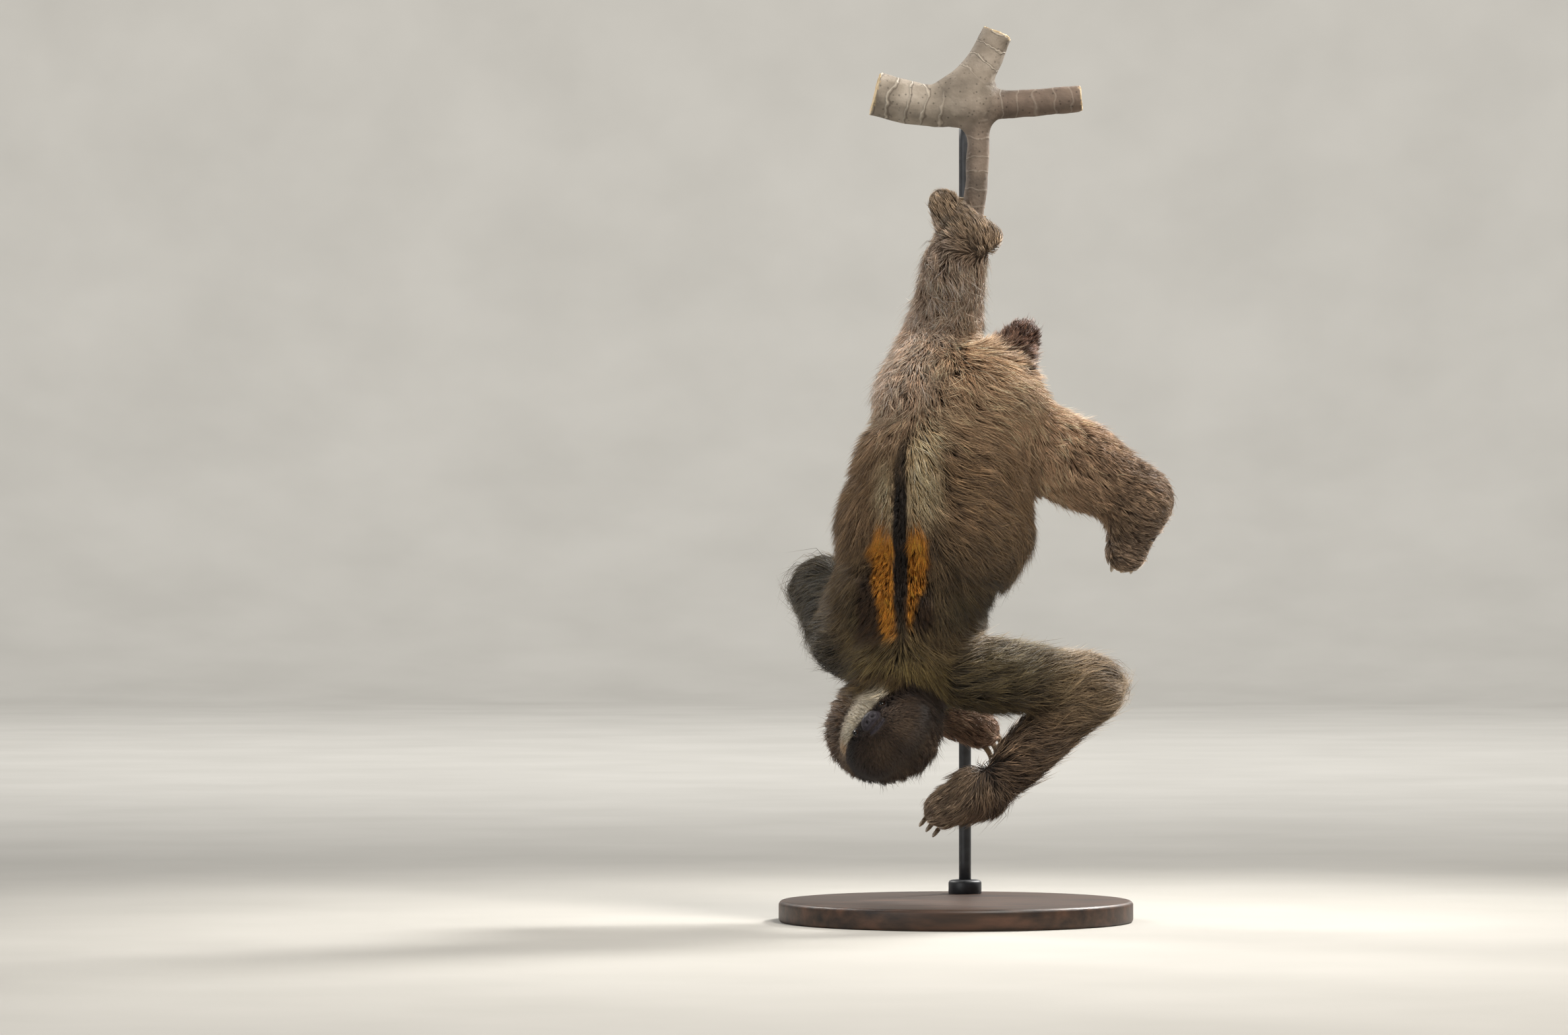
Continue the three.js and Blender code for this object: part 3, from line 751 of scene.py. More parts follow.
class Lie:
    """The way the hair lies on each part of the body."""

    NECK_FAN = place(-63, -60, 322)
    # How much of the bone's way and of the way off it, and a way of the shared frame added to them.
    WAYS = {
        "tail": (1.0, 0.15, (0, 0, 0)),
        "thigh_left": (0.0, 0.12, (0.5, 0.0, -0.86)),
        "shank_left": (0.0, 0.1, (0.85, 0.0, -0.35)),
        "foot_left": (0.0, 0.0, (0.82, 0.1, -0.42)),
        "thigh_right": (0.0, 0.2, (0.12, 0.0, -1.0)),
        "shank_right": (0.0, 0.2, (0.12, 0.0, -1.0)),
        "foot_right": (1.0, 0.0, (0, 0, 0)),
        "upper_arm_left": (1.0, 0.45, (0.0, 0.0, 0.3)),
        "hand_left": (1.0, 0.15, (0, 0, 0)),
        "upper_arm_right": (0.0, 0.4, unit((-0.75, 0.4, -0.42))),
        "forearm_right": (-1.0, 0.3, (0, 0, 0)),
        "hand_right": (1.0, 0.15, (0, 0, 0)),
    }

    @classmethod
    def at(cls, p: Array, shares: Array) -> Array:
        """The way the hair runs at points, each part's own way weighed by its share.

        Args:
            p: n by 3 points.
            shares: how much of each part is in them.

        Returns:
            n by 3 ways of length one.
        """
        ways = np.zeros_like(p)
        for part in PARTS:
            share = shares[:, PART_AT[part.name]]
            near = share > 0.01
            if near.any():
                ways[near] += share[near, None] * cls.on_part(part, p[near])
        return unit(ways)

    @classmethod
    def on_part(cls, part: Part, p: Array) -> Array:
        """The way the hair runs on one part.

        Args:
            part: the part.
            p: n by 3 points.

        Returns:
            A way for each point, or one for all.
        """
        start, end = part.axis
        bone = unit(end - start)
        rel = p - start
        out = unit(rel - (rel @ bone)[:, None] * bone)
        if part.name == "trunk":
            return cls._trunk(p)
        if part.name == "head":
            return unit(p - FLESH.nose) - 0.25 * FORWARD
        if part.name == "neck":
            fan = unit((p - cls.NECK_FAN) * np.array([1.0, 0.35, 1.0]))
            return fan + 0.25 * out + 0.35 * bone
        if part.name == "forearm_left":
            near_wrist = smooth(0.75, 0.98, rel @ bone / np.linalg.norm(end - start))[:, None]
            over = np.array([0.95, 0.0, 0.12]) + 0.3 * out
            down = np.array([0.45, 0.0, -0.75]) + 0.2 * out
            return over * (1 - near_wrist) + down * near_wrist
        along, off, way = cls.WAYS[part.name]
        return along * bone + off * out + np.array(way)

    @staticmethod
    def _trunk(p: Array) -> Array:
        """Down along the stripe, out over the flanks, and from the belly's middle to its sides.

        Args:
            p: n by 3 points.

        Returns:
            A way for each point.
        """
        z = p[:, 2] / MM
        off = (p[:, 0] / MM - Markings.spine_x(z)) / 110
        side = np.clip(off, 0, 1.2)[:, None]
        other = np.clip(-off, 0, 1.2)[:, None]
        down, right = np.array([0.0, 0.0, -1.0]), np.array([1.0, 0.0, 0.0])
        bend = 1 - smooth(0.75, 1.25, side)
        high = smooth(400, 460, z)[:, None]
        fan = 2.1 * np.maximum(side - 0.32 * (1 - high), 0)
        back = down + right * (0.12 * high + fan * bend + 0.45 * (1 - bend)) * (side > 0)
        turned = smooth(0.45, 0.85, other)
        back = back * (side > 0) + (side <= 0) * (
            (down - 0.35 * other * right) * (1 - turned)
            + turned * np.array([-0.7, 0.1, 0.35])
        )
        belly = right * np.sign(off)[:, None] + np.array([0.0, -0.35, -0.55])
        front = smooth(-10, 30, p[:, 1] / MM + 42)[:, None]
        return unit(back) * (1 - front) + unit(belly) * front


# ---- meshes ----


def new_mesh(name: str, points: Array, faces: list[Array]) -> bpy.types.Object:
    """A smooth-shaded mesh object from whole arrays.

    Args:
        name: the object's name.
        points: n by 3 vertex positions in metres.
        faces: arrays of vertex numbers, one array for each face size.

    Returns:
        The object, linked to the scene.
    """
    mesh = bpy.data.meshes.new(name)
    corners = np.concatenate([f.ravel() for f in faces]).astype(np.int32)
    sizes = np.concatenate([np.full(len(f), f.shape[1], np.int32) for f in faces])
    starts = np.concatenate([[0], np.cumsum(sizes)[:-1]]).astype(np.int32)
    mesh.vertices.add(len(points))
    mesh.vertices.foreach_set("co", np.asarray(points, np.float32).ravel())
    mesh.loops.add(len(corners))
    mesh.loops.foreach_set("vertex_index", corners)
    mesh.polygons.add(len(sizes))
    mesh.polygons.foreach_set("loop_start", starts)
    mesh.polygons.foreach_set("use_smooth", np.ones(len(sizes), bool))
    mesh.update(calc_edges=True)
    mesh.validate()
    made = bpy.data.objects.new(name, mesh)
    bpy.context.scene.collection.objects.link(made)
    return made


def set_tint(mesh: bpy.types.Mesh, name: str, colors: Array) -> None:
    """Stores a colour for each vertex in a colour attribute.

    Args:
        mesh: the mesh.
        name: the attribute's name.
        colors: n by 3 linear colours, or n values that are stored as greys.
    """
    layer = mesh.color_attributes.new(name, "FLOAT_COLOR", "POINT")
    rgba = np.ones((len(mesh.vertices), 4), np.float32)
    rgba[:, :3] = colors.reshape(len(colors), -1)
    layer.data.foreach_set("color", rgba.ravel())


def set_map(mesh: bpy.types.Mesh, name: str, uv: Array) -> None:
    """Stores a UV map.

    Args:
        mesh: the mesh.
        name: the map's name.
        uv: n by 2 places, one a vertex.
    """
    corners = np.empty(len(mesh.loops), np.int32)
    mesh.loops.foreach_get("vertex_index", corners)
    layer = mesh.uv_layers.new(name=name)
    layer.uv.foreach_set("vector", uv[corners].astype(np.float32).ravel())


def points_of(mesh: bpy.types.Mesh) -> Array:
    """A mesh's vertex positions.

    Args:
        mesh: the mesh.

    Returns:
        n by 3 positions in metres.
    """
    co = np.empty(len(mesh.vertices) * 3, np.float32)
    mesh.vertices.foreach_get("co", co)
    return co.reshape(-1, 3).astype(float)


def surface_net(field: Field, low: Array, high: Array, cell: float) -> tuple[Array, Array]:
    """The surface where a field is zero, as quads.

    Each cell of a grid that the surface crosses gets the mean of its edges' crossings, a/(a - b)
    along an edge, and each crossed edge one quad between the four cells round it.

    Args:
        field: the distance, below zero inside.
        low: the box's lowest corner.
        high: the box's highest corner.
        cell: the grid's step.

    Returns:
        The points, and the quads as rows of four point numbers, facing out.
    """
    counts = np.ceil((high - low) / cell).astype(int) + 1
    lines = [low[i] + cell * np.arange(counts[i]) for i in range(3)]
    grid = np.stack(np.meshgrid(*lines, indexing="ij"), -1)
    values = field(grid.reshape(-1, 3)).reshape(counts)
    total, hits = np.zeros((*(counts - 1), 3)), np.zeros(counts - 1)
    crossings = []
    for axis in range(3):
        u, v = (axis + 1) % 3, (axis + 2) % 3
        a, b = np.delete(values, -1, axis), np.delete(values, 0, axis)
        crossed = (a < 0) != (b < 0)
        t = np.where(crossed, a / np.where(crossed, a - b, 1), 0)
        crossings.append((a < 0, crossed))
        for du in (0, 1):
            for dv in (0, 1):
                cut = [slice(None)] * 3
                cut[u] = slice(du, du + counts[u] - 1)
                cut[v] = slice(dv, dv + counts[v] - 1)
                hit = crossed[tuple(cut)]
                hits += hit
                total[..., axis] += t[tuple(cut)]
                total[..., u] += du * hit
                total[..., v] += dv * hit
    used = hits > 0
    number = np.full(hits.shape, -1)
    number[used] = np.arange(used.sum())
    points = low + cell * (np.argwhere(used) + total[used] / hits[used][:, None])
    quads = []
    for axis, (inside, crossed) in enumerate(crossings):
        sides = [(axis + 1) % 3, (axis + 2) % 3]
        at = np.argwhere(crossed)
        at = at[((at[:, sides] > 0) & (at[:, sides] < counts[sides] - 1)).all(1)]
        eu, ev = np.eye(3, dtype=int)[sides]
        ring = np.stack([number[tuple((at - k).T)] for k in (eu + ev, ev, 0 * eu, eu)], 1)
        low_inside = inside[tuple(at.T)]
        quads.append(np.where(low_inside[:, None], ring, ring[:, ::-1]))
    return points, np.concatenate(quads)


def settle(field: Field, p: Array, rounds: int, most: float) -> Array:
    """Moves points onto a field's surface along its slope g, by -f g/|g|² in each round.

    Args:
        field: the distance f.
        p: n by 3 points.
        rounds: how many times they move.
        most: the most that f counts for in one round, metres.

    Returns:
        The moved points.
    """
    for _ in range(rounds):
        slope = slope_of(field, p)
        square = np.maximum((slope**2).sum(1), 0.2)
        p = p - slope * np.clip(field(p) / square, -most, most)[:, None]
    return p


def tube(wall: Array, first: Array, last: Array, turned_over: bool = False) -> Shape:
    """A closed tube through rings of points, its ends capped with fans.

    Args:
        wall: rings by sides by 3 points.
        first: the middle of the first ring's cap.
        last: the middle of the last ring's cap.
        turned_over: true where the rings go round clockwise, seen from the last one.

    Returns:
        The vertices and the faces: quads along the wall, then the caps' triangles.
    """
    rings, sides = wall.shape[:2]
    i = np.arange(sides)
    j = (i + 1) % sides
    if turned_over:
        i, j = j, i
    base = np.arange(rings - 1)[:, None] * sides
    quads = np.stack([base + i, base + j, base + sides + j, base + sides + i], -1).reshape(-1, 4)
    end, middle = (rings - 1) * sides, rings * sides
    start_cap = np.stack([np.full(sides, middle), j, i], 1)
    end_cap = np.stack([np.full(sides, middle + 1), end + i, end + j], 1)
    vertices = np.concatenate([wall.reshape(-1, 3), first[None], last[None]])
    return vertices, [quads, np.concatenate([start_cap, end_cap])]


def sweep(points: Array, radius: float, sides: int) -> Shape:
    """A closed round bar along a line of points: p(s) + r (cos a · right + sin a · high).

    Args:
        points: n by 3 points of its middle.
        radius: r, metres.
        sides: how many steps go round.

    Returns:
        The vertices and the faces.
    """
    along = unit(np.gradient(points, axis=0))
    helper = np.array([0.0, 1.0, 0.0]) if abs(along[0][1]) < 0.8 else np.array([1.0, 0.0, 0.0])
    right = unit(np.cross(helper, along))
    high = np.cross(along, right)
    angle = TURN * np.arange(sides) / sides
    ring = np.cos(angle)[None, :, None] * right[:, None] + np.sin(angle)[None, :, None] * high[:, None]
    return tube(points[:, None] + radius * ring, points[0], points[-1])


def turned(profile: Array, sides: int, axes: Array, origin: Array) -> Shape:
    """A closed solid turned round an axis: origin + r (cos a · right + sin a · high) + h · along.

    Args:
        profile: rows of radius r and height h; the first and the last radius are zero.
        sides: how many steps go round.
        axes: rows right, high and along.
        origin: where height zero lies.

    Returns:
        The vertices and the faces.
    """
    angle = TURN * np.arange(sides) / sides
    inner = profile[1:-1]
    ring = np.stack([np.cos(angle), np.sin(angle)], 1) @ axes[:2]
    wall = inner[:, 0][:, None, None] * ring[None] + inner[:, 1][:, None, None] * axes[2] + origin
    return tube(wall, origin + profile[0, 1] * axes[2], origin + profile[-1, 1] * axes[2])


def sphere(rows: int, sides: int) -> Shape:
    """A unit ball turned round the first axis.

    Args:
        rows: how many points run from pole to pole.
        sides: how many steps go round.

    Returns:
        The vertices and the faces.
    """
    angle = np.linspace(math.pi, 0, rows)
    profile = np.stack([np.sin(angle), np.cos(angle)], 1)
    profile[[0, -1], 0] = 0
    axes = np.array([[0.0, 1.0, 0.0], [0.0, 0.0, 1.0], [1.0, 0.0, 0.0]])
    return turned(profile, sides, axes, np.zeros(3))


def dish(profile: Array, sides: int) -> Shape:
    """An open sheet turned round the upright axis, (r cos a, r sin a, h), with its inside up.

    Args:
        profile: rows of radius r and height h; the first radius is zero.
        sides: how many steps go round.

    Returns:
        The vertices and the faces.
    """
    angle = np.arange(sides) * TURN / sides
    circle = np.stack([np.cos(angle), np.sin(angle)], 1)
    rings = [np.column_stack([circle * r, np.full(sides, z)]) for r, z in profile[1:]]
    points = np.concatenate([[[0.0, 0.0, profile[0, 1]]], *rings])
    k = np.arange(sides)
    after = (k + 1) % sides
    centre = np.stack([np.zeros(sides, int), 1 + k, 1 + after], 1)
    inner = 1 + np.arange(len(rings) - 1)[:, None] * sides
    outer = inner + sides
    quads = np.stack([inner + k, outer + k, outer + after, inner + after], -1).reshape(-1, 4)
    return points, [centre, quads]


# ---- materials ----


class Nodes:
    """A material's node tree, with one short call for each node."""

    def __init__(self, name: str) -> None:
        """Makes the material with its shader and output.

        Args:
            name: the material's name.
        """
        self.material = bpy.data.materials.new(name)
        self.material.use_nodes = True
        self.tree = self.material.node_tree
        self.tree.nodes.clear()
        self.shader = self.add("ShaderNodeBsdfPrincipled")
        out = self.add("ShaderNodeOutputMaterial")
        self.tree.links.new(self.shader.outputs[0], out.inputs["Surface"])

    def add(self, kind: str, settings: dict | None = None, **inputs: object) -> bpy.types.Node:
        """Adds a node, sets its settings, and sets or links its inputs by name.

        Args:
            kind: the node's type.
            settings: its own settings by name.
            **inputs: its inputs, as for feed.

        Returns:
            The node.
        """
        node = self.tree.nodes.new(kind)
        for key, value in (settings or {}).items():
            setattr(node, key, value)
        for key, value in inputs.items():
            self.feed(node, key, value)
        return node

    def feed(self, node: bpy.types.Node, key: str, value: object) -> None:
        """Sets one input of a node, or links a socket to it.

        Args:
            node: the node.
            key: the input's name with _ for a space, or i and its number.
            value: a socket, a plain value, or an sRGB hex colour.
        """
        name = key.replace("_", " ")
        numbered = name[0] == "i" and name[1:].isdigit()
        socket = node.inputs[int(name[1:])] if numbered else node.inputs[name]
        if isinstance(value, bpy.types.NodeSocket):
            self.tree.links.new(value, socket)
        else:
            socket.default_value = (*linear(value), 1.0) if isinstance(value, str) else value

    def ramp(self, source: Socket, *stops: tuple[float, str | float | tuple]) -> Socket:
        """A colour ramp.

        Args:
            source: the value that runs along it.
            *stops: places with a hex colour, a grey or a linear colour at each.

        Returns:
            The colour.
        """
        node = self.add("ShaderNodeValToRGB", Fac=source)
        elements = node.color_ramp.elements
        while len(elements) < len(stops):
            elements.new(0.5)
        for element, (at, color) in zip(elements, stops):
            if isinstance(color, str):
                color = linear(color)
            elif not isinstance(color, tuple):
                color = (color,) * 3
            element.position = at
            element.color = (*color, 1.0)
        return node.outputs["Color"]

    def mix(self, kind: str, factor: object, a: object, b: object) -> Socket:
        """Two colours mixed.

        Args:
            kind: the way they are mixed.
            factor: how much of the second one.
            a: the first colour.
            b: the second colour.

        Returns:
            The mixed colour.
        """
        node = self.add("ShaderNodeMix", {"data_type": "RGBA", "blend_type": kind})
        for key, value in (("i0", factor), ("i6", a), ("i7", b)):
            self.feed(node, key, value)
        return node.outputs[2]

    def math(self, operation: str, *values: object) -> Socket:
        """One sum.

        Args:
            operation: the kind of sum.
            *values: its one to three numbers or sockets.

        Returns:
            The result.
        """
        node = self.add("ShaderNodeMath", {"operation": operation})
        for i, value in enumerate(values):
            self.feed(node, f"i{i}", value)
        return node.outputs[0]

    def noise(self, vector: Socket, scale: float, detail: float = 3.0) -> Socket:
        """A noise value from 0 to 1 over a vector."""
        return self.add("ShaderNodeTexNoise", Vector=vector, Scale=scale, Detail=detail).outputs["Fac"]

    def cells(self, vector: Socket, scale: float) -> Socket:
        """How far a point is from the middle of its cell."""
        return self.add("ShaderNodeTexVoronoi", Vector=vector, Scale=scale).outputs["Distance"]

    def stretched(self, vector: Socket, scale: Triple) -> Socket:
        """A vector scaled along each axis."""
        return self.add("ShaderNodeMapping", Vector=vector, Scale=scale).outputs[0]

    def here(self) -> Socket:
        """The object's own coordinates."""
        return self.add("ShaderNodeTexCoord").outputs["Object"]

    def tint(self, name: str) -> Socket:
        """A stored colour of the mesh."""
        return self.add("ShaderNodeAttribute", {"attribute_name": name}).outputs["Color"]

    def amount(self, name: str) -> Socket:
        """A stored grey of the mesh, as a value."""
        return self.add("ShaderNodeSeparateColor", Color=self.tint(name)).outputs[0]

    def paint(self, color: Socket, by: Socket | None = None) -> None:
        """Gives the shader its colour, times a second one where there is one."""
        self.feed(self.shader, "Base_Color", color if by is None else self.mix("MULTIPLY", 1.0, color, by))

    def bump(self, height: Socket, distance: float, strength: float) -> None:
        """Lets a height lift the surface by that distance in metres."""
        node = self.add("ShaderNodeBump", Height=height, Distance=distance, Strength=strength)
        self.feed(self.shader, "Normal", node.outputs[0])


@dataclass(frozen=True)
class Finish:
    """How a surface takes the light: typical values of the real material."""

    roughness: float
    ior: float = 1.5
    specular: float = 0.5
    sheen: float = 0.0
    sheen_roughness: float = 0.5
    coat: float = 0.0
    coat_roughness: float = 0.1

    SOCKETS = ("Roughness", "IOR", "Specular IOR Level", "Sheen Weight", "Sheen Roughness",
               "Coat Weight", "Coat Roughness")

    def put_on(self, shader: bpy.types.Node) -> None:
        """Sets the shader's own sockets."""
        for name, value in zip(self.SOCKETS, astuple(self)):
            shader.inputs[name].default_value = value


class Look(Enum):
    """The materials of the model."""

    HAIR = "sloth_hair"
    SKIN = "sloth_skin"
    EYE = "wet_eye"
    NOSE = "moist_nose_skin"
    CLAW = "claw_horn"
    BARK = "cecropia_bark"
    WOOD = "stained_walnut"
    STEEL = "black_powder_coated_steel"
    FLOOR = "studio_paper"


class Materials:
    """Makes each material once."""

    def __init__(self) -> None:
        """Starts with no material made."""
        self.made: dict[Look, bpy.types.Material] = {}

    def get(self, look: Look) -> bpy.types.Material:
        """The material of a look.

        Args:
            look: the look.

        Returns:
            Its material, made at the first call.
        """
        if look not in self.made:
            nodes = Nodes(look.value)
            getattr(self, f"_{look.name.lower()}")(nodes)
            self.made[look] = nodes.material
        return self.made[look]

    @staticmethod
    def _hair(n: Nodes) -> None:
        """Keratin: dull, with a soft shine along the tips; its colour is stored on each tuft.

        Args:
            n: its nodes.
        """
        Finish(0.58, 1.55, 0.3, sheen=0.06, sheen_roughness=0.4).put_on(n.shader)
        n.paint(n.tint("tint"), n.ramp(n.noise(n.here(), 420, 2), (0.3, 0.72), (0.7, 1.12)))

    @staticmethod
    def _skin(n: Nodes) -> None:
        """Skin under short fur: fine mottling and a leathery grain.

        Args:
            n: its nodes.
        """
        Finish(0.6, 1.42, 0.35).put_on(n.shader)
        here = n.here()
        n.paint(n.tint("tint"), n.ramp(n.noise(here, 900, 3), (0.3, 0.7), (0.7, 1.15)))
        n.bump(n.noise(here, 1300, 4), 0.0006, 0.6)

    @staticmethod
    def _eye(n: Nodes) -> None:
        """A dark wet eye: brown iris that hardly shows round a black pupil.

        Args:
            n: its nodes.
        """
        Finish(0.1, 1.38, 0.42).put_on(n.shader)
        color = n.ramp(
            n.amount("iris"),
            (0.0, 0.004),
            (0.3, (0.006, 0.005, 0.004)),
            (0.42, (0.028, 0.014, 0.008)),
            (0.7, (0.014, 0.008, 0.005)),
            (0.8, (0.006, 0.005, 0.004)),
        )
        n.paint(color, n.ramp(n.noise(n.here(), 2600, 2), (0.3, 0.6), (0.7, 1.3)))

    @staticmethod
    def _nose(n: Nodes) -> None:
        """Moist blue-grey bare skin with fine pebbling, and near-black painted shade in the nostrils.

        Args:
            n: its nodes.
        """
        Finish(0.56, 1.42, 0.3).put_on(n.shader)
        here = n.here()
        pad = n.ramp(n.noise(here, 300, 3), (0.35, "#231f22"), (0.65, "#39353a"))
        # the nostrils' hollows painted near black: painted shade
        n.paint(n.mix("MIX", n.amount("hollow"), pad, (0.006, 0.005, 0.005, 1)))
        n.bump(n.cells(here, 1500), 0.0003, 0.5)

    @staticmethod
    def _claw(n: Nodes) -> None:
        """Horn: tan with dark streaks along its length and a worn pale tip.

        Args:
            n: its nodes.
        """
        Finish(0.38, 1.54, 0.5, coat=0.15, coat_roughness=0.3).put_on(n.shader)
        uv = n.add("ShaderNodeUVMap", {"uv_map": "claw"}).outputs[0]
        streak = n.noise(n.stretched(uv, (2.0, 9.0, 1.0)), 3.0, 4)
        to_tip = n.add("ShaderNodeSeparateXYZ", Vector=uv).outputs[0]
        worn = n.ramp(to_tip, (0.0, (0.35, 0.3, 0.26)), (0.2, (0.8, 0.78, 0.75)), (1.0, (1.25, 1.22, 1.15)))
        n.paint(n.ramp(streak, (0.3, "#5b4a35"), (0.7, "#b39c78")), worn)
        n.bump(streak, 0.0004, 0.5)

    @staticmethod
    def _bark(n: Nodes) -> None:
        """Grey-pink bark: raised pale ring scars, each with a dark groove beside it that is painted shade,
        darker young shoots, small dark pores, and pale grain on the sawn ends.

        Args:
            n: its nodes.
        """
        Finish(0.78, 1.5, 0.3).put_on(n.shader)
        vector = n.add("ShaderNodeAttribute", {"attribute_name": "limb"}).outputs["Vector"]
        along, _, end = n.add("ShaderNodeSeparateXYZ", Vector=vector).outputs
        here = n.here()
        cloud = n.noise(here, 28, 4)
        base = n.ramp(cloud, (0.25, "#5d554b"), (0.5, "#857b6e"), (0.78, "#aaa093"))
        base = n.mix("MIX", n.tint("young"), base, n.ramp(cloud, (0.3, "#51463d"), (0.7, "#776659")))
        skewed = n.math("MULTIPLY_ADD", n.noise(here, 34, 2), 0.022, along)
        joint = n.math("FRACT", n.math("MULTIPLY", skewed, 52.0))
        scar = n.ramp(joint, (0.0, 0.0), (0.42, 0.0), (0.5, 1.0), (0.56, 0.15), (0.6, 0.0))
        scar = n.mix("MULTIPLY", 1.0, scar, n.tint("ringed"))
        # the dark groove beside each scar: painted shade
        groove = n.ramp(joint, (0.0, 0.0), (0.56, 0.0), (0.61, 0.75), (0.68, 0.0))
        groove = n.mix("MULTIPLY", 1.0, groove, n.tint("ringed"))
        ringed = n.mix("MIX", groove, n.mix("MIX", scar, base, "#b0a698"), "#4a4038")
        pores = n.ramp(n.cells(here, 150), (0.0, 0.28), (0.13, 0.5), (0.22, 1.0))
        sawn = n.ramp(n.noise(here, 120, 4), (0.3, "#a98d66"), (0.7, "#d3bd94"))
        n.paint(n.mix("MIX", end, n.mix("MULTIPLY", 0.8, ringed, pores), sawn))
        n.bump(n.math("MULTIPLY_ADD", scar, 1.4, n.noise(here, 220, 5)), 0.0012, 0.8)

    @staticmethod
    def _wood(n: Nodes) -> None:
        """Dark stained walnut under satin lacquer: long grain with fine pores.

        Args:
            n: its nodes.
        """
        Finish(0.5, 1.5, 0.4, coat=0.1, coat_roughness=0.35).put_on(n.shader)
        long = n.stretched(n.here(), (1.0, 9.0, 9.0))
        n.paint(n.ramp(n.noise(long, 9, 6), (0.3, "#1d130d"), (0.5, "#3a281c"), (0.72, "#54392a")))
        n.bump(n.noise(long, 60, 3), 0.0003, 0.3)

    @staticmethod
    def _steel(n: Nodes) -> None:
        """Powder coat on steel: fine orange peel over satin black.

        Args:
            n: its nodes.
        """
        Finish(0.46, 1.5, 0.5).put_on(n.shader)
        here = n.here()
        n.paint(n.ramp(n.noise(here, 90, 3), (0.35, "#232426"), (0.65, "#303134")))
        n.bump(n.noise(here, 1500, 2), 0.0001, 0.35)

    @staticmethod
    def _floor(n: Nodes) -> None:
        """Pale studio paper with hardly any mottling.

        Args:
            n: its nodes.
        """
        Finish(0.85, 1.45, 0.25).put_on(n.shader)
        n.paint(n.ramp(n.noise(n.here(), 3, 3), (0.3, "#a7a49e"), (0.7, "#aeaba5")))


MATERIALS = Materials()


def finish_piece(
    piece: bpy.types.Object, look: Look, replaces: tuple[str, ...] = ()
) -> bpy.types.Object:
    """Gives a piece its material and body, and hides the frame's nodes that it stands for.

    Args:
        piece: the piece.
        look: its material.
        replaces: the nodes it stands for.

    Returns:
        The piece.
    """
    piece.data.materials.clear()
    piece.data.materials.append(MATERIALS.get(look))
    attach(piece, "root")
    if replaces:
        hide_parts(*replaces)
    LOG.info("%s: %d vertices, %d faces", piece.name, len(piece.data.vertices), len(piece.data.polygons))
    return piece


# ---- skin ----


@dataclass(frozen=True)
class Skin:
    """The one skin of the animal: a net over its field, finer on the face. Millimetres."""

    cell: float = 5.0
    low: Triple = (-235, -140, 60)
    high: Triple = (275, 250, 850)
    face_reach: float = 55.0

    @staticmethod
    def _refine(mesh: bpy.types.Mesh) -> None:
        """Halves the faces near the face twice, and once more round the eyes, nose and mouth.

        Args:
            mesh: the skin's net.
        """
        bm = bmesh.new()
        bm.from_mesh(mesh)
        middle, ahead = Vector(HEAD_AT), Vector(FORWARD)
        features = [*FLESH.eyes.values(), FLESH.nose, in_head(44, 0, MOUTH_UP)]
        for reach, centres in ((60, [in_head(34, 0, -8)]), (50, [in_head(36, 0, -8)]), (15, features)):
            places = [Vector(c) for c in centres]
            close = [
                f
                for f in bm.faces
                if min((f.calc_center_median() - c).length for c in places) < reach * MM
                and (f.calc_center_median() - middle).dot(ahead) > 4 * MM
            ]
            edges = list({e for f in close for e in f.edges})
            bmesh.ops.subdivide_edges(bm, edges=edges, cuts=1, use_grid_fill=True, use_only_quads=False)
        bmesh.ops.triangulate(bm, faces=[f for f in bm.faces if len(f.verts) > 4])
        bmesh.ops.recalc_face_normals(bm, faces=bm.faces)
        bm.to_mesh(mesh)
        bm.free()

    def build(self) -> bpy.types.Object:
        """Builds, paints and dresses the skin, which stands for every flesh node.

        Returns:
            The skin.
        """
        points, quads = surface_net(FLESH.cover, place(*self.low), place(*self.high), self.cell * MM)
        points = settle(FLESH.cover, points, 2, 2 * MM)
        skin = new_mesh("skin", points, [quads])
        mesh = skin.data
        self._refine(mesh)
        points = points_of(mesh)
        close = away(points, in_head(36, 0, -8)) < self.face_reach * MM
        points[~close] = settle(FLESH.cover, points[~close], 2, 1.5 * MM)
        points[close] = settle(FLESH.cover, points[close], 16, 0.5 * MM)
        mesh.vertices.foreach_set("co", points.astype(np.float32).ravel())
        mesh.polygons.foreach_set("use_smooth", np.ones(len(mesh.polygons), bool))
        mesh.update()
        set_tint(mesh, "tint", Markings.skin(points, FLESH.shares(FLESH.distances(points))))
        flesh_nodes = tuple(part.name for part in PARTS)
        return finish_piece(skin, Look.SKIN, flesh_nodes)


# ---- coat ----


class Region(Enum):
    """Which faces of its parts a piece of the coat grows on."""

    ALL = "all"
    BACK_LEFT = "back_left"
    BACK_RIGHT = "back_right"
    BELLY = "belly"
    CROWN = "crown"
    FACE = "face"


@dataclass(frozen=True)
class CoatPiece:
    """One mesh of the coat: the parts it grows on, how many tufts and how many stations along each."""

    name: str
    parts: tuple[str, ...]
    count: int
    stations: int = 3
    slot: str = "coat"
    region: Region = Region.ALL


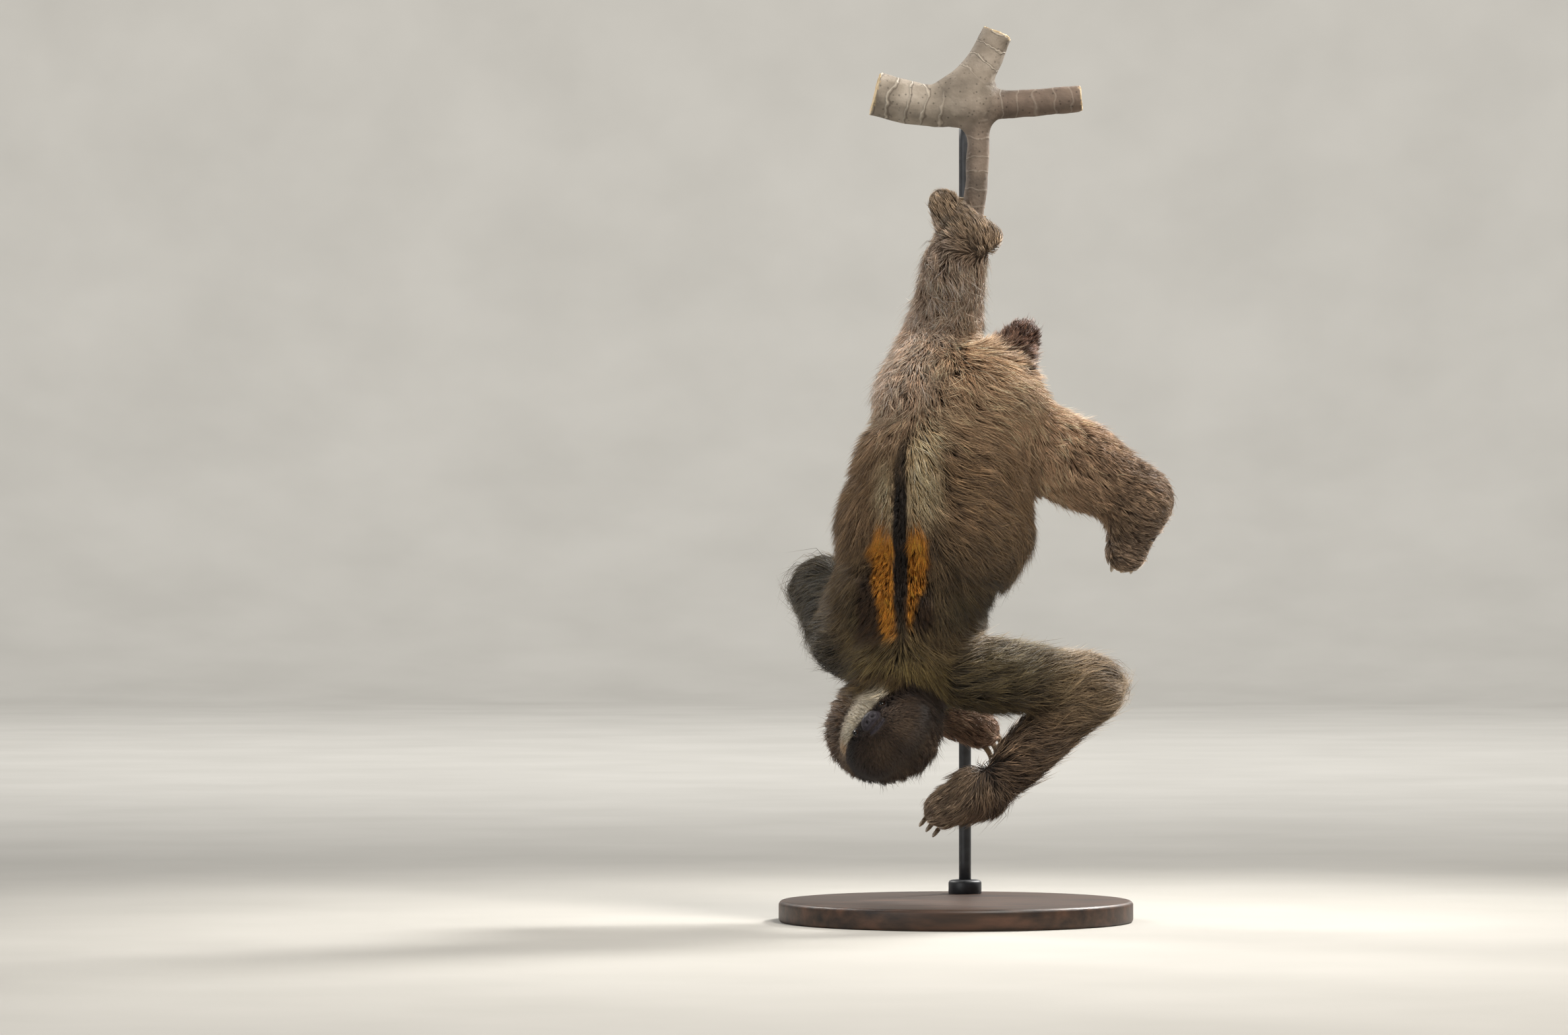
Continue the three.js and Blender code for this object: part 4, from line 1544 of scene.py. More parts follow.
COAT = (
    CoatPiece("coat_back_left", ("trunk",), 19500, region=Region.BACK_LEFT),
    CoatPiece("coat_back_right", ("trunk",), 15500, region=Region.BACK_RIGHT),
    CoatPiece("coat_belly", ("trunk",), 8500, region=Region.BELLY),
    CoatPiece("coat_neck", ("neck",), 11500),
    CoatPiece("coat_arm_left", ("upper_arm_left", "forearm_left"), 17500),
    CoatPiece("coat_arm_right", ("upper_arm_right", "forearm_right"), 9500),
    CoatPiece("coat_leg_left", ("thigh_left", "shank_left"), 15500),
    CoatPiece("coat_leg_right", ("thigh_right", "shank_right"), 13500),
    CoatPiece("coat_crown", ("head",), 9500, slot="face_coat", region=Region.CROWN),
    CoatPiece("coat_face", ("head",), 30000, 2, slot="face_coat", region=Region.FACE),
    CoatPiece("coat_paws", ("hand_left", "hand_right", "foot_left", "foot_right"), 13800),
    CoatPiece("coat_tail", ("tail",), 3000, slot="tail_coat"),
)


@dataclass(frozen=True)
class Bed:
    """Where the tufts of one piece grow, one row a tuft, and the random numbers they draw."""

    piece: CoatPiece
    roots: Array
    shares: Array
    lock: Array
    rng: np.random.Generator


@dataclass(frozen=True)
class Strands:
    """How each tuft of a piece is to grow, one row a tuft, in metres and radians."""

    length: Array
    width: Array
    top: Array
    lean: Array
    mess: Array
    stray: Array
    wild: Array


@dataclass(frozen=True)
class Tufts:
    """The tufts of one coat piece, one row a tuft."""

    paths: Array
    normals: Array
    widths: Array
    roll: Array
    low: Array
    tip: Array
    patch: Array


def flesh_normal(p: Array) -> Array:
    """The way out of the flesh at points."""
    return unit(slope_of(lambda q: Flesh.whole(FLESH.distances(q)), p, 1.0 * MM))


@dataclass
class CoatBuilder:
    """Grows the coat on the finished skin."""

    skin: bpy.types.Object
    patch: float = 0.003  # a tuft's patch on the map OFBake, in parts of the map
    seed: int = 900
    lock: int = 12  # tufts in a lock
    face_lock: int = 9
    quick_share: int = 4
    quick_width: float = 1.8

    # Pale strays under the crown: painted backlight on the fringe.
    BACKLIT_BRISTLE = ("#a89a84", "#efe6d4")
    # How much longer the hair of each elbow is, millimetres.
    ELBOWS = ((ELBOW_R, 24.0), (ELBOW_L, 6.0))
    # A tuft's section, in widths across and above its middle, and its width at each station.
    SECTION = ((0.5, -0.18), (-0.5, -0.18), (0.0, 0.36))
    WIDTHS = {3: (0.8, 0.85), 2: (1.0,)}

    def __post_init__(self) -> None:
        """Reads the skin's faces: corners, area, way they face, middle, and the part they lie on."""
        mesh = self.skin.data
        mesh.calc_loop_triangles()
        tri = np.empty(len(mesh.loop_triangles) * 3, np.int32)
        mesh.loop_triangles.foreach_get("vertices", tri)
        self.corners = points_of(mesh)[tri.reshape(-1, 3)]
        cross = np.cross(self.corners[:, 1] - self.corners[:, 0], self.corners[:, 2] - self.corners[:, 0])
        self.area = np.linalg.norm(cross, axis=1) / 2
        self.facing = unit(cross)
        self.centre = self.corners.mean(1)
        self.owner = FLESH.distances(self.centre).argmin(1)

    def _growing(self, piece: CoatPiece) -> Array:
        """Where a piece grows.

        Args:
            piece: the piece.

        Returns:
            The weight of each face of the skin, zero where it doesn't grow.
        """
        weight = self.area * np.isin(self.owner, [PART_AT[name] for name in piece.parts])
        x, y = self.centre[:, 0] / MM, self.centre[:, 1] / MM
        back = (self.facing[:, 1] < 0.12) & (y < -35)
        left = x > Markings.spine_x(self.centre[:, 2] / MM)
        ahead, side, up = head_place(self.centre).T
        face = (ahead > -14) & (up < 33 - 0.0036 * side**2)
        weight = weight * {
            Region.ALL: np.ones(len(x), bool),
            Region.BACK_LEFT: back & left,
            Region.BACK_RIGHT: back & ~left,
            Region.BELLY: ~back,
            Region.CROWN: ~face,
            Region.FACE: face,
        }[piece.region]
        if piece.region in (Region.BACK_LEFT, Region.BACK_RIGHT):
            weight = weight * (1 + 1.5 * Markings.patches(self.centre))
        if piece.region is Region.FACE:
            weight = weight * (1 - Markings.bare(self.centre))
            for eye in FLESH.eyes.values():
                gap = away(self.centre, eye)
                weight = weight * smooth(6.6 * MM, 8.2 * MM, gap)
            weight = weight * (1 + 1.2 * smooth(18, 36, ahead))
        return weight

    def _roots(self, weight: Array, count: int, rng: np.random.Generator) -> Array:
        """Points spread evenly over the growing faces, one random point in each equal share.

        Args:
            weight: the weight of each face.
            count: how many points.
            rng: the piece's random numbers.

        Returns:
            count by 3 points: a + u (b - a) + v (c - a) in the face abc, with u + v at most 1.
        """
        total = np.cumsum(weight)
        pick = np.searchsorted(total, (np.arange(count) + rng.random(count)) / count * total[-1])
        pick = np.minimum(pick, len(weight) - 1)
        a, b = rng.random((2, count, 1))
        flip = a + b > 1
        a, b = np.where(flip, 1 - a, a), np.where(flip, 1 - b, b)
        c = self.corners[pick]
        return c[:, 0] + a * (c[:, 1] - c[:, 0]) + b * (c[:, 2] - c[:, 0])

    @staticmethod
    def _hem(p: Array, shares: Array) -> Array:
        """Where the neck's coat ends over the crown, and so grows shorter and lower."""
        return shares[:, PART_AT["neck"]] * (1 - smooth(66, 96, away(p, HEAD_AT) / MM))

    @classmethod
    def _lengths(cls, p: Array, shares: Array) -> tuple[Array, Array, Array]:
        """The coat's length, width and mess at points.

        Args:
            p: n by 3 points.
            shares: how much of each part is in them.

        Returns:
            Length and width in metres, and the mess.
        """
        table = np.array([[part.length, part.width, part.mess] for part in PARTS])
        length, width, mess = (shares @ table).T
        ahead, left, up = head_place(p).T
        face = smooth(-32, -8, ahead) * (1 - smooth(24, 44, up + 0.006 * left**2 * (up > 0)))
        face = shares[:, PART_AT["head"]] * face
        from_nose = away(p, FLESH.nose) / MM
        length = length + face * (np.clip(1.2 + 0.115 * from_nose, 2.2, 10.0) - length)
        width = width + face * (0.46 - width)
        marks = Markings.patches(p) * shares[:, PART_AT["trunk"]]
        length = length * (1 - 0.62 * marks)
        width = width * (1 - 0.3 * marks)
        mess = mess * (1 - 0.5 * face) * (1 - 0.93 * marks)
        for elbow, more in cls.ELBOWS:
            length = length + more * np.exp(-((away(p, elbow) / (42 * MM)) ** 2))
        length = length * (1 - 0.4 * cls._hem(p, shares)) * (1 - 0.55 * Markings.tail_root(p))
        return length * MM, width * MM, mess

    def _locks(self, piece: CoatPiece, roots: Array, rng: np.random.Generator) -> Array:
        """The lock of each tuft: the nearest of the tufts picked to guide one.

        Args:
            piece: the piece.
            roots: n by 3 roots.
            rng: the piece's random numbers.

        Returns:
            The number of each tuft's guide.
        """
        share = self.face_lock if piece.stations == 2 else self.lock
        guides = rng.choice(len(roots), max(len(roots) // share, 4), replace=False)
        tree = KDTree(len(guides))
        for i, guide in enumerate(guides):
            tree.insert(roots[guide], i)
        tree.balance()
        return guides[np.array([tree.find(root)[1] for root in roots])]

    def _strands(self, bed: Bed) -> Strands:
        """How each tuft grows: its part's own coat, its lock's lean and rise, and a few strays.

        Args:
            bed: where they grow.

        Returns:
            The strands.
        """
        roots, shares, lock, rng = bed.roots, bed.shares, bed.lock, bed.rng
        count = len(roots)
        length, width, mess = self._lengths(roots, shares)
        depth = FLESH.depth(roots, shares)
        lean = rng.normal(0, 1, count) * (0.08 + 0.35 * mess) + 0.5 * mess * rng.normal(0, 1, count)[lock]
        lean = lean + 0.9 * mess * ripple(roots, 34 * MM, 51)
        of_lock, own = rng.normal(0, 1, count)[lock], rng.normal(0, 1, count)
        rise = np.clip(0.8 + 0.132 * of_lock + 0.16 * own, 0.35, 1.08)
        rise = rise * (1 - 0.3 * self._hem(roots, shares))
        length = length * np.clip(rng.normal(1, 0.16, count), 0.6, 1.5)
        stray = (rng.random(count) < 0.04 + 0.2 * mess) & (bed.piece.stations > 2)
        wild = rng.random(count) ** 2
        rise = np.where(stray, rise + 0.2 + 0.75 * wild, rise)
        length = np.where(stray, length * (1.05 + 0.35 * wild), length)
        lean = np.where(stray, lean + 0.25 * rng.normal(0, 1, count), lean)
        width = np.where(stray, 0.5 * width, width) * rng.uniform(0.7, 1.15, count)
        return Strands(length, width, depth * rise, lean, mess, stray, wild)

    @staticmethod
    def _march(bed: Bed, strands: Strands) -> Array:
        """Steps along the lie of the coat, each station at its height over the skin.

        The height over the skin is top sin(πs/2), so a tuft leaves the skin steeply and then lies
        down, and each step is sqrt(l² - h²) long, with h what it rises.

        Args:
            bed: where the tufts grow.
            strands: how they grow.

        Returns:
            n by stations by 3 points.
        """
        p, stations = bed.roots, bed.piece.stations
        paths = np.empty((len(p), stations, 3))
        paths[:, 0] = p
        step = strands.length / (stations - 1)
        for k in range(1, stations):
            s = k / (stations - 1)
            height, before = (math.sin(math.pi / 2 * at) for at in (s, (k - 1) / (stations - 1)))
            normal = flesh_normal(p)
            way = Lie.at(p, FLESH.shares(FLESH.distances(p)))
            way = unit(way - (way * normal).sum(1, keepdims=True) * normal)
            angle = strands.lean + 0.5 * strands.mess * ripple(p + 7.0, 26 * MM, 52) * s
            way = way * np.cos(angle)[:, None] + np.cross(normal, way) * np.sin(angle)[:, None]
            rise = strands.top * (height - before)
            flat = np.sqrt(np.maximum(step**2 - rise**2, (0.35 * step) ** 2))
            p = p + way * flat[:, None]
            distances = FLESH.distances(p)
            now = FLESH.whole(distances) + FLESH.sink(p, FLESH.shares(distances))
            p = p + flesh_normal(p) * np.clip(strands.top * height - now, -0.012, 0.012)[:, None]
            paths[:, k] = p
        return paths

    def _colors(self, bed: Bed, strands: Strands, paths: Array) -> tuple[Array, Array]:
        """Each tuft's colours: the markings near its tip, toned by its wisp and its lock, with the strays'
        tips and the crown's pale bristles lightened as painted backlight.

        Args:
            bed: where the tufts grow.
            strands: how they grow.
            paths: their points.

        Returns:
            The linear colours in its lower half and at its tip.
        """
        roots, lock, rng = bed.roots, bed.lock, bed.rng
        count = len(roots)
        seen = 0.6 * paths[:, -2] + 0.4 * paths[:, -1]
        low, tip = Markings.fur(seen, FLESH.shares(FLESH.distances(seen)))
        calm = 0.45 if bed.piece.stations == 2 else 1.0
        wisp = 0.24 * rng.normal(0, 1, count)[lock] + 0.13 * ripple(roots, 14 * MM, 53)
        tone = 1 + calm * (wisp + 0.14 * rng.normal(0, 1, count))
        tone = np.clip(tone, 0.42, 1.8)[:, None]
        light = rng.beta(1.0, 2.0, count) + 0.55 * (rng.random(count) < 0.18)
        light = 0.6 * light + 0.4 * light[lock]
        # strays' tips lighter: painted backlight on the fringe
        light = np.where(strands.stray, light + 0.5, light)[:, None]
        tip = low + (tip - low) * np.clip(light * 1.6, 0, 1.6)
        # the crown's lower strays made pale: painted backlight
        if bed.piece.region is Region.CROWN:
            backlit_bristle = (strands.stray & (strands.wild > 0.2) & (head_place(roots)[:, 2] < -25))[:, None]
            low, tip = (np.where(backlit_bristle, linear(code), c) for code, c in zip(self.BACKLIT_BRISTLE, (low, tip)))
        return low * tone, np.clip(tip * tone, 0, 1)

    def _grow(self, piece: CoatPiece, rng: np.random.Generator) -> Tufts:
        """The tufts of a piece: each follows the lie of the coat and leans to its lock's own tip.

        Args:
            piece: the piece.
            rng: its random numbers.

        Returns:
            The tufts.
        """
        count = piece.count
        roots = self._roots(self._growing(piece), count, rng)
        shares = FLESH.shares(FLESH.distances(roots))
        lock = self._locks(piece, roots, rng)
        bed = Bed(piece, roots, shares, lock, rng)
        strands = self._strands(bed)
        paths = self._march(bed, strands)
        pull = np.clip(0.42 + 0.16 * rng.normal(0, 1, count)[lock], 0.0, 0.75) * (~strands.stray)
        steps = np.linspace(0, 1, piece.stations) ** 1.4
        paths = paths + pull[:, None, None] * steps[None, :, None] * (paths[lock] - paths)
        low, tip = self._colors(bed, strands, paths)
        roll = rng.uniform(-0.9, 0.9, count)
        return Tufts(paths, flesh_normal(roots), strands.width, roll, low, tip, self._patches(bed))

    @staticmethod
    def _patches(bed: Bed) -> Array:
        """Each root's place on an unwrap of the skin: each part unrolled round its bone, in rows.

        Args:
            bed: where the tufts grow.

        Returns:
            n by 2 places: the angle round the bone, and the row with how far along the bone.
        """
        owner = np.array([PART_AT[name] for name in bed.piece.parts])
        at = owner[bed.shares[:, owner].argmax(1)]
        uv = np.empty((len(at), 2))
        for row, index in enumerate(owner):
            mine = at == index
            start, end = PARTS[index].axis
            bone = unit(end - start)
            right = unit(np.cross(bone, np.array([0.3, 1.0, 0.2])))
            rel = bed.roots[mine] - start
            along = rel @ bone / np.linalg.norm(end - start)
            angle = np.arctan2(rel @ np.cross(bone, right), rel @ right)
            uv[mine, 0] = angle / TURN + 0.5
            uv[mine, 1] = (row + np.clip((along + 0.6) / 2.2, 0.01, 0.99)) / len(owner)
        return np.clip(uv, 0.002, 0.994)

    def _mesh(self, piece: CoatPiece, t: Tufts) -> bpy.types.Object:
        """The tufts as closed three-sided blades: a cap at the root, a ridge above and a sharp tip.

        Args:
            piece: the piece.
            t: its tufts.

        Returns:
            The mesh object, with its colours and its map.
        """
        n, s = len(t.paths), piece.stations
        along = unit(np.gradient(t.paths, axis=1))
        side = unit(np.cross(along, t.normals[:, None]))
        high = np.cross(side, along)
        c, d = np.cos(t.roll)[:, None, None], np.sin(t.roll)[:, None, None]
        side, high = side * c + high * d, high * c - side * d
        wide = t.widths[:, None] * np.array(self.WIDTHS[s])
        rings = np.empty((n, s - 1, 3, 3))
        for k, (across, above) in enumerate(self.SECTION):
            rings[:, :, k] = (
                t.paths[:, :-1]
                + side[:, :-1] * (wide * across)[..., None]
                + high[:, :-1] * (wide * above)[..., None]
            )
        points = np.concatenate([rings.reshape(n, -1, 3), t.paths[:, -1:]], 1)
        each = points.shape[1]
        base = np.arange(n)[:, None, None] * each
        quads = [
            [3 * k + i, 3 * k + 3 + i, 3 * k + 3 + (i + 1) % 3, 3 * k + (i + 1) % 3]
            for k in range(s - 2)
            for i in range(3)
        ]
        last = 3 * (s - 2)
        tris = [[last + i, each - 1, last + (i + 1) % 3] for i in range(3)] + [[0, 1, 2]]
        quads, tris = np.array(quads, int).reshape(-1, 4), np.array(tris)
        faces = [(base + quads).reshape(-1, 4), (base + tris).reshape(-1, 3)]
        made = new_mesh(piece.name, points.reshape(-1, 3), faces)
        at = np.repeat(np.arange(s - 1) / (s - 1), 3)
        at = np.append(at, 1.0)[None, :, None]
        low, tip = t.low[:, None], t.tip[:, None]
        root = low * 0.4
        color = np.where(
            at < 0.34, root + (low - root) * (at / 0.34), low + (tip - low) * smooth(0.3, 0.95, at)
        )
        set_tint(made.data, "tint", color.reshape(-1, 3))
        local = np.empty((each, 2))
        local[:-1, 0] = np.tile([0.0, 0.5, 1.0], s - 1)
        local[:, 1] = at.ravel()
        local[-1, 0] = 0.5
        set_map(made.data, "OFBake", (t.patch[:, None] + (local - 0.5)[None] * self.patch).reshape(-1, 2))
        return made

    def build(self) -> None:
        """Builds and dresses every piece of the coat."""
        for number, piece in enumerate(COAT):
            tufts = self._grow(piece, np.random.default_rng(self.seed + number))
            finish_piece(self._mesh(piece, tufts), Look.HAIR)


# ---- eyes, nose and claws ----


@dataclass(frozen=True)
class Eyes:
    """The eyeballs, each with the cornea's slight bulge towards the way it looks. Millimetres."""

    radius: float = 5.6
    bulge: float = 0.1
    rows: int = 28
    sides: int = 36

    def build(self) -> None:
        """Builds both; `iris` runs from 0 at the pupil's middle by the angle off the eye's axis."""
        ball, faces = sphere(self.rows, self.sides)
        swell = 1 + self.bulge * smooth(0.72, 1.0, ball[:, 0])
        far = np.arccos(np.clip(unit(ball)[:, 0], -1, 1)) / (math.pi / 2)
        for side, name in ((1, "eye_left"), (-1, "eye_right")):
            axis = FLESH.eye_axis(side)
            right = unit(np.cross(CROWN, axis))
            frame = np.stack([axis, right, np.cross(axis, right)])
            points = FLESH.eyes[side] + (ball * swell[:, None] * (self.radius * MM)) @ frame
            piece = new_mesh(f"ball_{name}", points, faces)
            set_tint(piece.data, "iris", far)
            finish_piece(piece, Look.EYE, (name,))


@dataclass(frozen=True)
class NosePad:
    """The nose pad, with two comma-shaped nostrils and a groove between them, in parts of a radius."""

    rows: int = 56
    sides: int = 72
    aside: float = 0.44
    below: float = 0.38
    wide: float = 0.2
    tall: float = 0.24
    deep: float = 0.34
    groove: float = 0.06

    def build(self) -> None:
        """Builds the pad: the nose's egg, scaled by 1 less e^-(u² + v²) at each nostril."""
        ball, faces = sphere(self.rows, self.sides)
        x, y, z = ball.T
        nostril = np.zeros(len(ball))
        for side in (-1, 1):
            across = (side * y - self.aside + 0.3 * (z + 0.3)) / self.wide
            high = (z + self.below) / self.tall
            nostril = np.maximum(nostril, np.exp(-(across**2 + high**2)) * (x > 0))
        groove = self.groove * np.exp(-((y / 0.07) ** 2)) * (x > 0) * smooth(0.4, -0.2, z)
        shape = ball * np.array(NOSE_RADII) * MM
        shape[:, 2] *= 1 + 0.14 * (y**2)
        points = FLESH.nose + (shape * (1 - self.deep * nostril - groove)[:, None]) @ HEAD_AXES
        piece = new_mesh("nose_pad", points, faces)
        # how deep in a nostril each point lies; the nose material paints it near black as painted shade
        set_tint(piece.data, "hollow", smooth(0.45, 0.85, nostril))
        finish_piece(piece, Look.NOSE, ("nose",))


@dataclass(frozen=True)
class ClawRow:
    """The three claws of a paw: where the middle one leaves, which way and towards which palm, the
    row the three stand in with its spread in millimetres, and how far they turn in radians.
    """

    paw: str
    at: Array
    ahead: Array
    palm: Array
    row: Array
    spread: float
    turn: float


CLAW_ROWS = (
    ClawRow("hand_left", place(-28, 35, 110), np.array([-0.36, 0.76, -0.54]),
            np.array([0.5, 0.5, 0.7]), np.array([0.78, 0, -0.62]), 9.5, 1.75),
    ClawRow("hand_right", place(40, 126, 203), np.array([0.66, 0.25, -0.7]),
            np.array([-0.45, 0.7, -0.5]), np.array([0.6, 0.3, 0.7]), 10, 1.75),
    ClawRow("foot_left", place(188, 42, 404), np.array([-0.1, 0.75, -0.65]),
            np.array([0.2, 0.6, 0.8]), np.array([1, 0, -0.1]), 11, 1.75),
    ClawRow("foot_right", place(-8, -4, 804), np.array([0.0, 1.0, 0.0]),
            np.array([1.0, 0, 0]), np.array([-0.15, 0, 0.99]), 10, 2.0),
)


@dataclass(frozen=True)
class Claws:
    """The twelve claws: arcs that narrow to a blunt tip. Lengths in millimetres."""

    length: float = 56.0
    high: float = 3.8
    wide: float = 2.7
    tip: float = 0.8
    taper: float = 0.7
    steps: int = 34
    sides: int = 18

    def _claw(self, row: ClawRow, number: int) -> None:
        """One claw, on the arc root + R (sin a · ahead + (1 - cos a) · palm), ridged along its back.

        Args:
            row: its paw's row.
            number: which of the three.
        """
        root = row.at + unit(row.row) * (number - 2) * row.spread * MM
        forward = unit(row.ahead)
        inward = unit(row.palm - (row.palm @ forward) * forward)
        across = np.cross(forward, inward)
        radius = self.length / row.turn * MM
        t = np.linspace(0, 1, self.steps)
        sin, cos = np.sin(row.turn * t)[:, None], np.cos(row.turn * t)[:, None]
        centre = root + radius * (sin * forward + (1 - cos) * inward)
        up = cos * inward - sin * forward
        share = (1 - t) ** self.taper
        tip = self.tip
        high, wide = (((tip + (size - tip) * share) * MM)[:, None] for size in (self.high, self.wide))
        phi = TURN * np.arange(self.sides) / self.sides
        tall = np.sin(phi) * (1 + 0.1 * (np.sin(phi) < 0))
        broad = np.cos(phi) * (1 - 0.18 * (np.sin(phi) < -0.3))
        wall = centre[:, None] + (high * tall)[..., None] * up[:, None] + (wide * broad)[..., None] * across
        end = centre[-1] + (centre[-1] - centre[-2]) * 0.5
        node = f"claw_{row.paw}_{number}"
        piece = new_mesh(node.replace("claw_", "horn_"), *tube(wall, centre[0], end, turned_over=True))
        uv = np.stack(np.meshgrid(t, np.arange(self.sides) / self.sides, indexing="ij"), -1).reshape(-1, 2)
        set_map(piece.data, "claw", np.concatenate([uv, [[0, 0.5], [1, 0.5]]]))
        finish_piece(piece, Look.CLAW, (node,))

    def build(self) -> None:
        """Builds and dresses the three claws of each paw."""
        for row in CLAW_ROWS:
            for number in (1, 2, 3):
                self._claw(row, number)


# ---- perch and stand ----


@dataclass(frozen=True)
class Limb:
    """A round tapered limb of the branch through its points, in millimetres.

    It has its radii at its start and end, how strongly its bark is ringed and how young it is, and
    which end is sawn.
    """

    points: tuple[Triple, ...]
    start: float
    end: float
    rings: float
    young: float
    sawn_at_start: bool = False


FORK_AT, FORK_RADIUS = place(10, 8, 925), 26.0
LIMBS = (
    Limb(((-92, 4, 931), (-50, 6, 921), (-10, 8, 917), (20, 8, 924)), 25, 22, 1.0, 0.0, sawn_at_start=True),
    Limb(((18, 8, 918), (70, 8, 920), (140, 6, 926)), 16, 14.5, 0.22, 1.0),
    Limb(((0, 8, 930), (26, 10, 960), (46, 12, 1000)), 22, 17, 0.7, 0.2),
    Limb(((24, 8, 905), (24, 8, 870), (22, 8, 830), (16, 9, 776)), 13, 12, 0.2, 0.8),
)


@dataclass
class Branch:
    """The cut branch as one field: its limbs melted at the fork, sawn square at the ends. Millimetres."""

    fillet: float = 15.0
    cell: float = 3.0
    low: Triple = (-125, -35, 740)
    high: Triple = (175, 50, 1035)
    steps: int = 14

    def __post_init__(self) -> None:
        """Lays the limbs: short bars with their place along the limb, and the plane of each cut."""
        self.bars: list[list[tuple[Bar, float]]] = []
        self.cuts: list[tuple[Array, Array]] = []
        for limb in LIMBS:
            points = self._curve(np.array([place(*p) for p in limb.points]), self.steps)
            gaps = np.linalg.norm(np.diff(points, axis=0), axis=1)
            along = np.concatenate([[0], np.cumsum(gaps)])
            radii = limb.start + (limb.end - limb.start) * along / along[-1]
            self.bars.append(
                [(Bar(points[i], points[i + 1], radii[i], radii[i + 1]), along[i]) for i in range(len(gaps))]
            )
            end, before = points[:2] if limb.sawn_at_start else points[:-3:-1]
            self.cuts.append((end, unit(end - before)))

    @staticmethod
    def _curve(points: Array, steps: int) -> Array:
        """A smooth line through points: a Catmull-Rom curve.

        Args:
            points: n by 3 points.
            steps: how many points the line has.

        Returns:
            steps by 3 points.
        """
        padded = np.concatenate([[2 * points[0] - points[1]], points, [2 * points[-1] - points[-2]]])
        t = np.linspace(0, len(points) - 1, steps)
        i = np.minimum(t.astype(int), len(points) - 2)
        f = (t - i)[:, None]
        a, b, c, d = (padded[i + k] for k in range(4))
        square, cube = 2 * a - 5 * b + 4 * c - d, 3 * b - a - 3 * c + d
        return 0.5 * (2 * b + (c - a) * f + square * f**2 + cube * f**3)

    def _of_limbs(self, p: Array) -> list[Array]:
        """The distance of points from each limb."""
        return [np.min([bar.distance(p) for bar, _ in bars], 0) for bars in self.bars]

    def distance(self, p: Array) -> Array:
        """The distance from the branch.

        Args:
            p: n by 3 points.

        Returns:
            n distances in metres.
        """
        total = away(p, FORK_AT) - FORK_RADIUS * MM
        for limb, (cut, way) in zip(self._of_limbs(p), self.cuts):
            total = union(total, np.maximum(limb, (p - cut) @ way), self.fillet * MM)
        return total

    def _rough(self, p: Array) -> Array:
        """The distance from the branch with its bark's swellings."""
        return self.distance(p) - (0.7 * ripple(p, 30 * MM, 71) + 0.25 * ripple(p, 9 * MM, 72)) * MM

    def _limb_map(self, p: Array) -> Array:
        """Where points lie on the branch.

        Args:
            p: n by 3 points.

        Returns:
            n rows: metres along the nearest limb, turns round it, and 1 on a sawn end.
        """
        best, along, end = np.full(len(p), 1e9), np.zeros(len(p)), np.zeros(len(p))
        for index, bars in enumerate(self.bars):
            for bar, start in bars:
                d = bar.distance(p)
                axis = bar.end - bar.start
                t = np.clip((p - bar.start) @ axis / (axis @ axis), 0, 1)
                near = d < best
                best = np.where(near, d, best)
                along = np.where(near, start + t * np.linalg.norm(axis) + 0.37 * index, along)
        for cut, way in self.cuts:
            close = away(p, cut) < 0.03
            end = np.maximum(end, close * ((p - cut) @ way > -0.6 * MM))
        turn = np.arctan2(p[:, 2], p[:, 1]) / TURN
        return np.stack([along, turn, end], 1)

    def build(self) -> None:
        """Builds and dresses the branch; `ringed` and `young` say how each limb's bark looks."""
        points, quads = surface_net(self.distance, place(*self.low), place(*self.high), self.cell * MM)
        points = settle(self._rough, points, 3, 1.5 * MM)
        piece = new_mesh("branch", points, [quads])
        layer = piece.data.attributes.new("limb", "FLOAT_VECTOR", "POINT")
        layer.data.foreach_set("vector", self._limb_map(points).astype(np.float32).ravel())
        clear = smooth(30 * MM, 44 * MM, away(points, FORK_AT))
        near = Flesh.shares(np.stack(self._of_limbs(points), 1), 6 * MM)
        set_tint(piece.data, "ringed", clear * (near @ np.array([limb.rings for limb in LIMBS])))
        set_tint(piece.data, "young", near @ np.array([limb.young for limb in LIMBS]))
        finish_piece(
            piece, Look.BARK, ("perch_fork", "perch_limb_right", "perch_limb_up", "perch_stem")
        )


